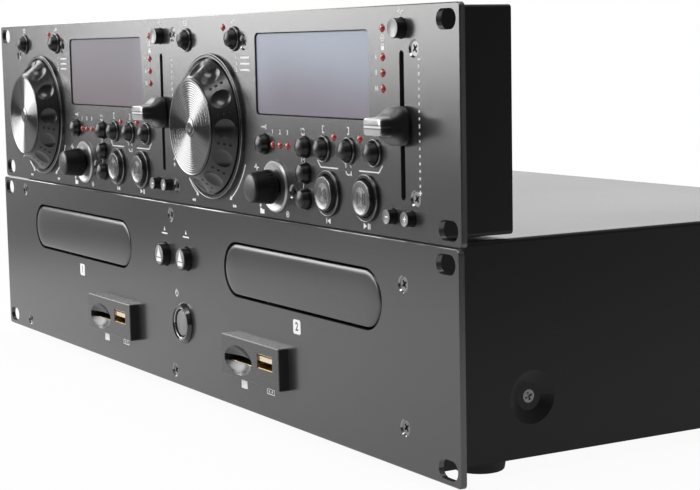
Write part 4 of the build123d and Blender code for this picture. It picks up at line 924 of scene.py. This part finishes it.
def return_sign(sheet, x, z):
    sheet.box(x - 1.7, z, 0.55, 2.2)
    sheet.flat(around(x, z, [(-1.2, 0), (1.4, -1.1), (1.4, 1.1)]))


def double_arrow_sign(sheet, x, z, hand):
    for place in (-0.9, 0.9):
        sheet.arrow(x + place + hand * 0.9, z, 90 - 90 * hand, 1.7)


def loop_sign(sheet, x, z, radius):
    for start in (20, 200):
        sheet.arc(x, z, radius, start, start + 125)
        tip = math.radians(start + 150)
        sheet.arrow(x + radius * math.cos(tip), z + radius * math.sin(tip), start + 235, radius * 0.9)


def clock_sign(sheet, x, z):
    sheet.ring(x, z, 1.25, 1.6)
    sheet.line(around(x, z, [(0, 0.9), (0, 0), (0.7, 0)]), 0.32)


def folder_sign(sheet, x, z):
    sheet.flat(around(x, z, [(-1.9, -1.1), (1.9, -1.1), (1.9, 0.8), (0, 0.8), (-0.5, 1.3), (-1.9, 1.3)]))


def note_sign(sheet, x, z):
    sheet.ring(x - 0.5, z - 0.8, 0, 0.7, 24)
    sheet.line(around(x, z, [(0.05, -0.8), (0.05, 1.4), (1.1, 0.8)]), 0.36)


def wave_sign(sheet, x, z):
    sheet.line(around(x, z, [(-2.2, 0), (-1.1, 0), (-0.5, 1.2), (0.3, -1.1), (0.9, 0), (2.2, 0)]), 0.4)


def push_sign(sheet, x, z):
    sheet.ring(x, z, 1.0, 1.35)
    sheet.ring(x, z, 0, 0.5, 24)


def list_sign(sheet, x, z):
    for row in (-0.9, 0.0, 0.9):
        sheet.box(x - 1.6, z + row, 0.45, 0.45)
        sheet.box(x + 0.5, z + row, 2.9, 0.4)


def bars_sign(sheet, x, z):
    for place, height in enumerate((0.8, 1.4, 2.0)):
        sheet.box(x - 1.2 + place * 1.2, z - 1.0 + height / 2, 0.7, height)


def bracket_sign(sheet, x, z, hand):
    near, far = hand * 0.7, -hand * 0.6
    sheet.line(around(x, z, [(near, 1.3), (far, 1.3), (far, -1.3), (near, -1.3)]), 0.45)


def onward_sign(sheet, x, z):
    sheet.box(x + 1.9, z, 0.5, 2.2)
    sheet.line(around(x, z, [(-2.2, 0), (0.6, 0)]))
    sheet.arrow(x + 1.5, z, 0)


def lock_sign(sheet, x, z):
    sheet.box(x, z - 0.5, 2.3, 1.5)
    sheet.arc(x, z + 0.3, 0.75, 0, 180, 0.4)


def one_sign(sheet, x, z):
    sheet.number("1", x, z, 2.8)


print("signs ready")

# %% Print of the controller
SCALE_X, SCALE_LOW, SCALE_STEP, SCALE_DOTS = 214.3, 21.0, 2.77, 17
TURN_RADIUS = 36.1
FIGURES = (("4", 184.3, 68.7, 2.6), ("8", 184.3, 62.7, 2.6), ("16", 184.3, 56.7, 2.6),
           ("1", 98.5, 37.3, 2.7), ("2", 105.15, 37.3, 2.7), ("3", 111.8, 37.3, 2.7))
LAMP_ROWS = (("1", 68.9), ("2", 66.2), ("3", 63.5))
LOOP_LINES = ([(137.1, 27.1), (139.7, 24.4), (153.7, 24.4)],
              [(170.2, 24.4), (185.0, 24.4), (187.9, 27.2)])
# each sign with its x and z, and for some a radius or a hand
SIGNS = (
    (onward_sign, 90.7, 39.2), (loop_sign, 125.2, 38.2, 1.3), (clock_sign, 125.0, 26.6),
    (one_sign, 125.0, 15.7), (bracket_sign, 142.4, 39.8, 1), (bracket_sign, 162.1, 39.8, -1),
    (wave_sign, 83.0, 21.4), (note_sign, 86.4, 5.8), (folder_sign, 87.4, 2.6), (push_sign, 110.5, 2.8),
    (return_sign, 145.4, 2.7), (play_pause_sign, 175.5, 3.0), (list_sign, 14.6, 85.0),
    (bars_sign, 64.2, 85.0), (wave_sign, 202.1, 85.7), (push_sign, 189.2, 75.9), (lock_sign, 189.4, 72.6))
sheet = Drawing(upper)
for shift in DECKS.values():
    for place in range(SCALE_DOTS):
        tall = 1.5 if place == SCALE_DOTS // 2 else 1.0
        sheet.box(SCALE_X + shift, SCALE_LOW + place * SCALE_STEP, 0.75, tall)
    sheet.box(SCALE_X + shift + 0.3, 67.8, 1.8, 0.5)
    sheet.box(SCALE_X + shift, 18.4, 1.9, 0.5)
    sheet.box(SCALE_X + shift, 18.4, 0.5, 1.9, 0.0, 0.05)
    for text, x, z, size in FIGURES:
        sheet.number(text, x + shift, z, size)
    for points in LOOP_LINES:
        sheet.line(around(shift, 0, points))
    loop_sign(sheet, 162.0 + shift, 24.5, 2.2)
    for start, end, x, z, angle in ((224, 240, 23.9, 5.2, -29), (-26, -60, 55.9, 5.4, -154)):
        sheet.arc(JOG_X + shift, JOG_Z, TURN_RADIUS, start, end)
        sheet.arrow(x + shift, z, angle, 2.2)
    double_arrow_sign(sheet, 18.5 + shift, 2.9, -1)
    double_arrow_sign(sheet, 60.9 + shift, 2.8, 1)
    for text, row in LAMP_ROWS:
        sheet.number(text, 66.2 + shift, row, 2.3)
        sheet.line([(70.0 + shift, row), (78.5 + shift, row)], 0.7)
    for sign, x, z, *rest in SIGNS:
        sign(sheet, x + shift, z, *rest)
sheet.piece("controller_print", print_white, "panel_paint")

# %% [markdown]
# ## Print on the player
#
# The trays are numbered with white squares, and the eject buttons, the power button and the
# two media openings have signs of their own. The figure on a square is a second, dark film.

# %% Print of the player
BADGES = {"1": (-121.8, 43.9), "2": (118.8, 44.2)}
BADGE_HALF, BADGE_UP, BADGE_CORNER = 3.2, 3.1, 0.7
POWER_SIGN_X, POWER_SIGN_Z, MEDIA_SIGN_Z = -0.9, 45.0, 11.9
CARD_SIGN = [(-2.9, -2.2), (2.9, -2.2), (2.9, 2.2), (1.6, 2.2), (1.6, 1.2), (0.9, 1.2), (0.9, 2.2),
             (-0.2, 2.2), (-0.2, 1.2), (-0.9, 1.2), (-0.9, 2.2), (-1.9, 2.2), (-2.9, 1.2)]
PLUG_SIGN = [(-3.4, 1.4), (3.4, 1.4), (3.4, -0.8), (-3.4, -0.8), (-3.4, 1.6)]
sheet, figures = Drawing(lower), Drawing(lower)
for text, (x, z) in BADGES.items():
    left, right, low, high = x - BADGE_HALF, x + BADGE_HALF, z - BADGE_UP, z + BADGE_UP
    sheet.flat([(left + BADGE_CORNER, low), (right - BADGE_CORNER, low), (right, low + BADGE_CORNER),
                (right, high - BADGE_CORNER), (right - BADGE_CORNER, high), (left + BADGE_CORNER, high),
                (left, high - BADGE_CORNER), (left, low + BADGE_CORNER)])
    figures.number(text, x, z, 5.0, FILM, 0.04)
for x in EJECT_X.values():
    sheet.box(x - 0.6, 73.0, 6.4, 0.7)
    sheet.arrow(x - 0.6, 76.2, 90, 1.9)
sheet.arc(POWER_SIGN_X, POWER_SIGN_Z, 1.4, 125, 415)
sheet.box(POWER_SIGN_X, POWER_SIGN_Z + 1.1, 0.5, 1.9, 0.0, 0.07)
for block_x in MEDIA_X.values():
    sheet.flat(around(block_x - 14.2, MEDIA_SIGN_Z, CARD_SIGN))
    x = block_x + 11.0
    sheet.line(around(x, MEDIA_SIGN_Z, PLUG_SIGN), 0.4)
    for place in (-1.3, 1.3):
        sheet.box(x + place, MEDIA_SIGN_Z + 0.3, 1.1, 0.8)
sheet.piece("player_print", print_white, "panel_paint")
figures.piece("badge_figures", mark_dark, "panel_paint")

# %% [markdown]
# ## Sockets at the rear
#
# The audio jacks have plated sleeves over a coloured core: red and white for the two sides of
# each pair. The mains inlet has three plated blades. Sleeves and cores are turned rings that
# sit on the black bodies of the frame's own sockets.

# %% Rear sleeves and cores
class Rear(Front):
    """The back of the player. To a viewer behind it, x runs from right to left."""

    def __init__(self):
        self.corner = Vector((0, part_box("chassis")[1].y, 0))
        self.body = "player"

    def at(self, x, z, out):
        return self.corner + Vector((x, out, z)) * MM


rear = Rear()
JACK_X, JACK_Z = (60.0, 78.0, 120.0, 138.0), (24.0, 40.0)
JACK_REACH = (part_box("rear_sockets")[1].y - rear.corner.y) / MM
for row, (material, label) in zip(JACK_Z, ((jack_red, "red"), (print_white, "white"))):
    sleeves, cores = Drawing(rear), Drawing(rear)
    for x in JACK_X:
        sleeves.turn(x, row, [(4.1, 2.3), (4.32, 2.3), (4.32, JACK_REACH - 0.5), (4.2, JACK_REACH - 0.02),
                              (3.5, JACK_REACH - 0.02), (3.5, JACK_REACH - 0.4), (4.1, JACK_REACH - 0.5)], 48)
        cores.turn(x, row, [(1.7, JACK_REACH - 0.6), (3.5, JACK_REACH - 0.6), (3.5, JACK_REACH - 0.05),
                            (3.2, JACK_REACH - 0.01), (1.9, JACK_REACH - 0.01)], 48)
        cores.turn(x, row, [(4.4, 1.8), (5.1, 1.8), (5.1, 2.15), (4.9, 2.3), (4.4, 2.3)], 48)
    sleeves.piece(f"jack_sleeves_{label}", bright_metal, "socket_black")
    cores.piece(f"jack_cores_{label}", material, "socket_black")
print("rear sockets reach", round(JACK_REACH, 2), "mm")

# %% [markdown]
# ## Camera, light and floor
#
# The object is seen from the right, a little above the controller, through a long lens. The
# camera stands where the panels' corners and slots line up with the view. A large soft box
# stands low at the left front: its reflection fills the top of the upper front and fades
# towards the bottom, which shows how satin the paint is. The other boxes are weaker: one at
# the left for the rims and seats, two overhead, and one behind for the tops.

# %% Camera
CAMERA_PLACE = Vector((751.1, -465.35, 167.0)) * MM
CAMERA_YAW, CAMERA_PITCH, CAMERA_ROLL = (math.radians(angle) for angle in (59.59, 6.63, -1.12))
SENSOR = 36.0
IMAGE_WIDTH = 700
FOCAL_PIXELS = 1727.8

forward = Vector((-math.sin(CAMERA_YAW) * math.cos(CAMERA_PITCH),
                  math.cos(CAMERA_YAW) * math.cos(CAMERA_PITCH), -math.sin(CAMERA_PITCH)))
level_right = Vector((math.cos(CAMERA_YAW), math.sin(CAMERA_YAW), 0))
level_up = level_right.cross(forward)
right = level_right * math.cos(CAMERA_ROLL) + level_up * math.sin(CAMERA_ROLL)
up = level_up * math.cos(CAMERA_ROLL) - level_right * math.sin(CAMERA_ROLL)

camera_data = bpy.data.cameras.new("camera")
camera_data.sensor_fit = "HORIZONTAL"
camera_data.sensor_width = SENSOR
camera_data.lens = FOCAL_PIXELS / IMAGE_WIDTH * SENSOR
camera_data.clip_start, camera_data.clip_end = 0.01, 100.0
camera = placed("camera", camera_data)
turned = Matrix((right, up, -forward)).transposed().to_4x4()
turned.translation = CAMERA_PLACE
camera.matrix_world = turned
bpy.context.scene.camera = camera
print("lens", round(camera_data.lens, 2), "mm")


# %% Soft boxes
def soft_box(name, place, target, width, height, power):
    data = bpy.data.lights.new(name, "AREA")
    data.shape = "RECTANGLE"
    data.size, data.size_y = width, height
    data.energy = power
    box = placed(name, data)
    box.location = place
    box.rotation_euler = (Vector(target) - Vector(place)).to_track_quat("-Z", "Y").to_euler()


# name, place, target, width and height in metres, power in watts
SOFT_BOXES = (
    ("front_box", (-2.08, -1.87, 0.93), (0, 0, 0.85), 1.9, 1.66, 62),
    ("left_box", (-2.30, -0.32, 1.20), (0, -0.1, 0.1), 0.9, 0.7, 9),
    ("top_box", (0.1, 0.1, 2.4), (0, 0, 0), 2.4, 2.4, 24),
    ("eave_box", (0.3, -1.5, 2.0), (0, 0, 0.1), 1.3, 0.6, 16),
    ("back_box", (-1.9, 2.1, 0.95), (0.2, 0.1, 0.1), 2.6, 1.3, 22))
for box in SOFT_BOXES:
    soft_box(*box)
print(len(SOFT_BOXES), "soft boxes")

# %% [markdown]
# ## Floor
#
# The units stand on a pale table. A white plane that fills the view would throw too much light
# back at the dark fronts, so each kind of ray meets its own floor: white to the camera, bright
# near the object to what mirrors it, and otherwise a pale table that darkens with distance.

# %% Floor
FLOOR_HALF, FLOOR_DROP = 30.0, 0.0002
TABLE_NEAR, TABLE_FAR = 0.32, 0.84


def stage_floor():
    """White to the camera, but for the shadow by the object. Its bounce fades with distance."""
    finish = Finish("stage_floor")
    where, (x, y, _) = finish.place()
    away = (x ** 2.0 + y ** 2.0) ** 0.5
    cloud = finish.noise(where, 2.0)
    far = away.ramp(TABLE_NEAR, TABLE_FAR)
    leftward = (x * -0.45 + y).ramp(-0.10, 0.20)
    light_side = (0.15 - x).ramp(0.0, 0.30) * 0.45 + 0.55
    colour = finish.blend(far, finish.blend(cloud, grey(0.78), grey(0.82)), grey(0.11))
    pale = finish.node("ShaderNodeBsdfDiffuse", None, {"Color": colour}).value()
    white = finish.node("ShaderNodeEmission", None, {"Color": grey(1.0), "Strength": 1.0}).value()
    rays = finish.node("ShaderNodeLightPath")
    camera_share = rays.value("Is Camera Ray") * (far * 0.05 + 0.95)
    gloss_share = rays.value("Is Glossy Ray") * ((1.0 - far) * light_side + leftward * far * 0.55)
    finish.show(finish.node("ShaderNodeMixShader", None, {0: camera_share + gloss_share, 1: pale,
                                                          2: white}).value())
    return finish.material


floor_mesh = bpy.data.meshes.new("stage_floor")
floor_mesh.from_pydata([(-FLOOR_HALF, -FLOOR_HALF, 0), (FLOOR_HALF, -FLOOR_HALF, 0),
                        (FLOOR_HALF, FLOOR_HALF, 0), (-FLOOR_HALF, FLOOR_HALF, 0)], [], [(0, 1, 2, 3)])
floor = placed("stage_floor", floor_mesh)
floor.location.z = -FLOOR_DROP
floor_mesh.materials.append(stage_floor())
print("floor", 2 * FLOOR_HALF, "m across")

# %% [markdown]
# ## World
#
# What the boxes leave out comes from the room: bright overhead and behind, dim in front, so
# that the dark fronts stay dark. To the camera the room is plain white, like the floor.

# %% World
OVERHEAD_LIGHT, REAR_LIGHT, BASE_LIGHT = 0.22, 0.30, 0.02


def studio_world():
    """White to the camera. Elsewhere it is bright overhead and behind, and dim in front."""
    world = bpy.data.worlds.new("studio")
    bpy.context.scene.world = world
    world.use_nodes = True
    studio = Finish("studio", world.node_tree)
    direction = studio.node("ShaderNodeTexCoord").value("Generated")
    split = studio.node("ShaderNodeSeparateXYZ", None, {0: direction})
    x, y, z = (split.value(axis) for axis in "XYZ")
    above = z.ramp(0.05, 0.7)
    behind = (y * 0.8 - x * 0.35).ramp(0.0, 0.8)
    level = above * OVERHEAD_LIGHT + behind * REAR_LIGHT + BASE_LIGHT
    seen = studio.node("ShaderNodeLightPath").value("Is Camera Ray")
    shown = level * (1.0 - seen) + seen
    studio.show(studio.node("ShaderNodeBackground", None, {"Color": grey(1.0), "Strength": shown}).value(),
                "ShaderNodeOutputWorld")


studio_world()
bpy.context.scene.view_settings.view_transform = "Standard"
print("stage ready")
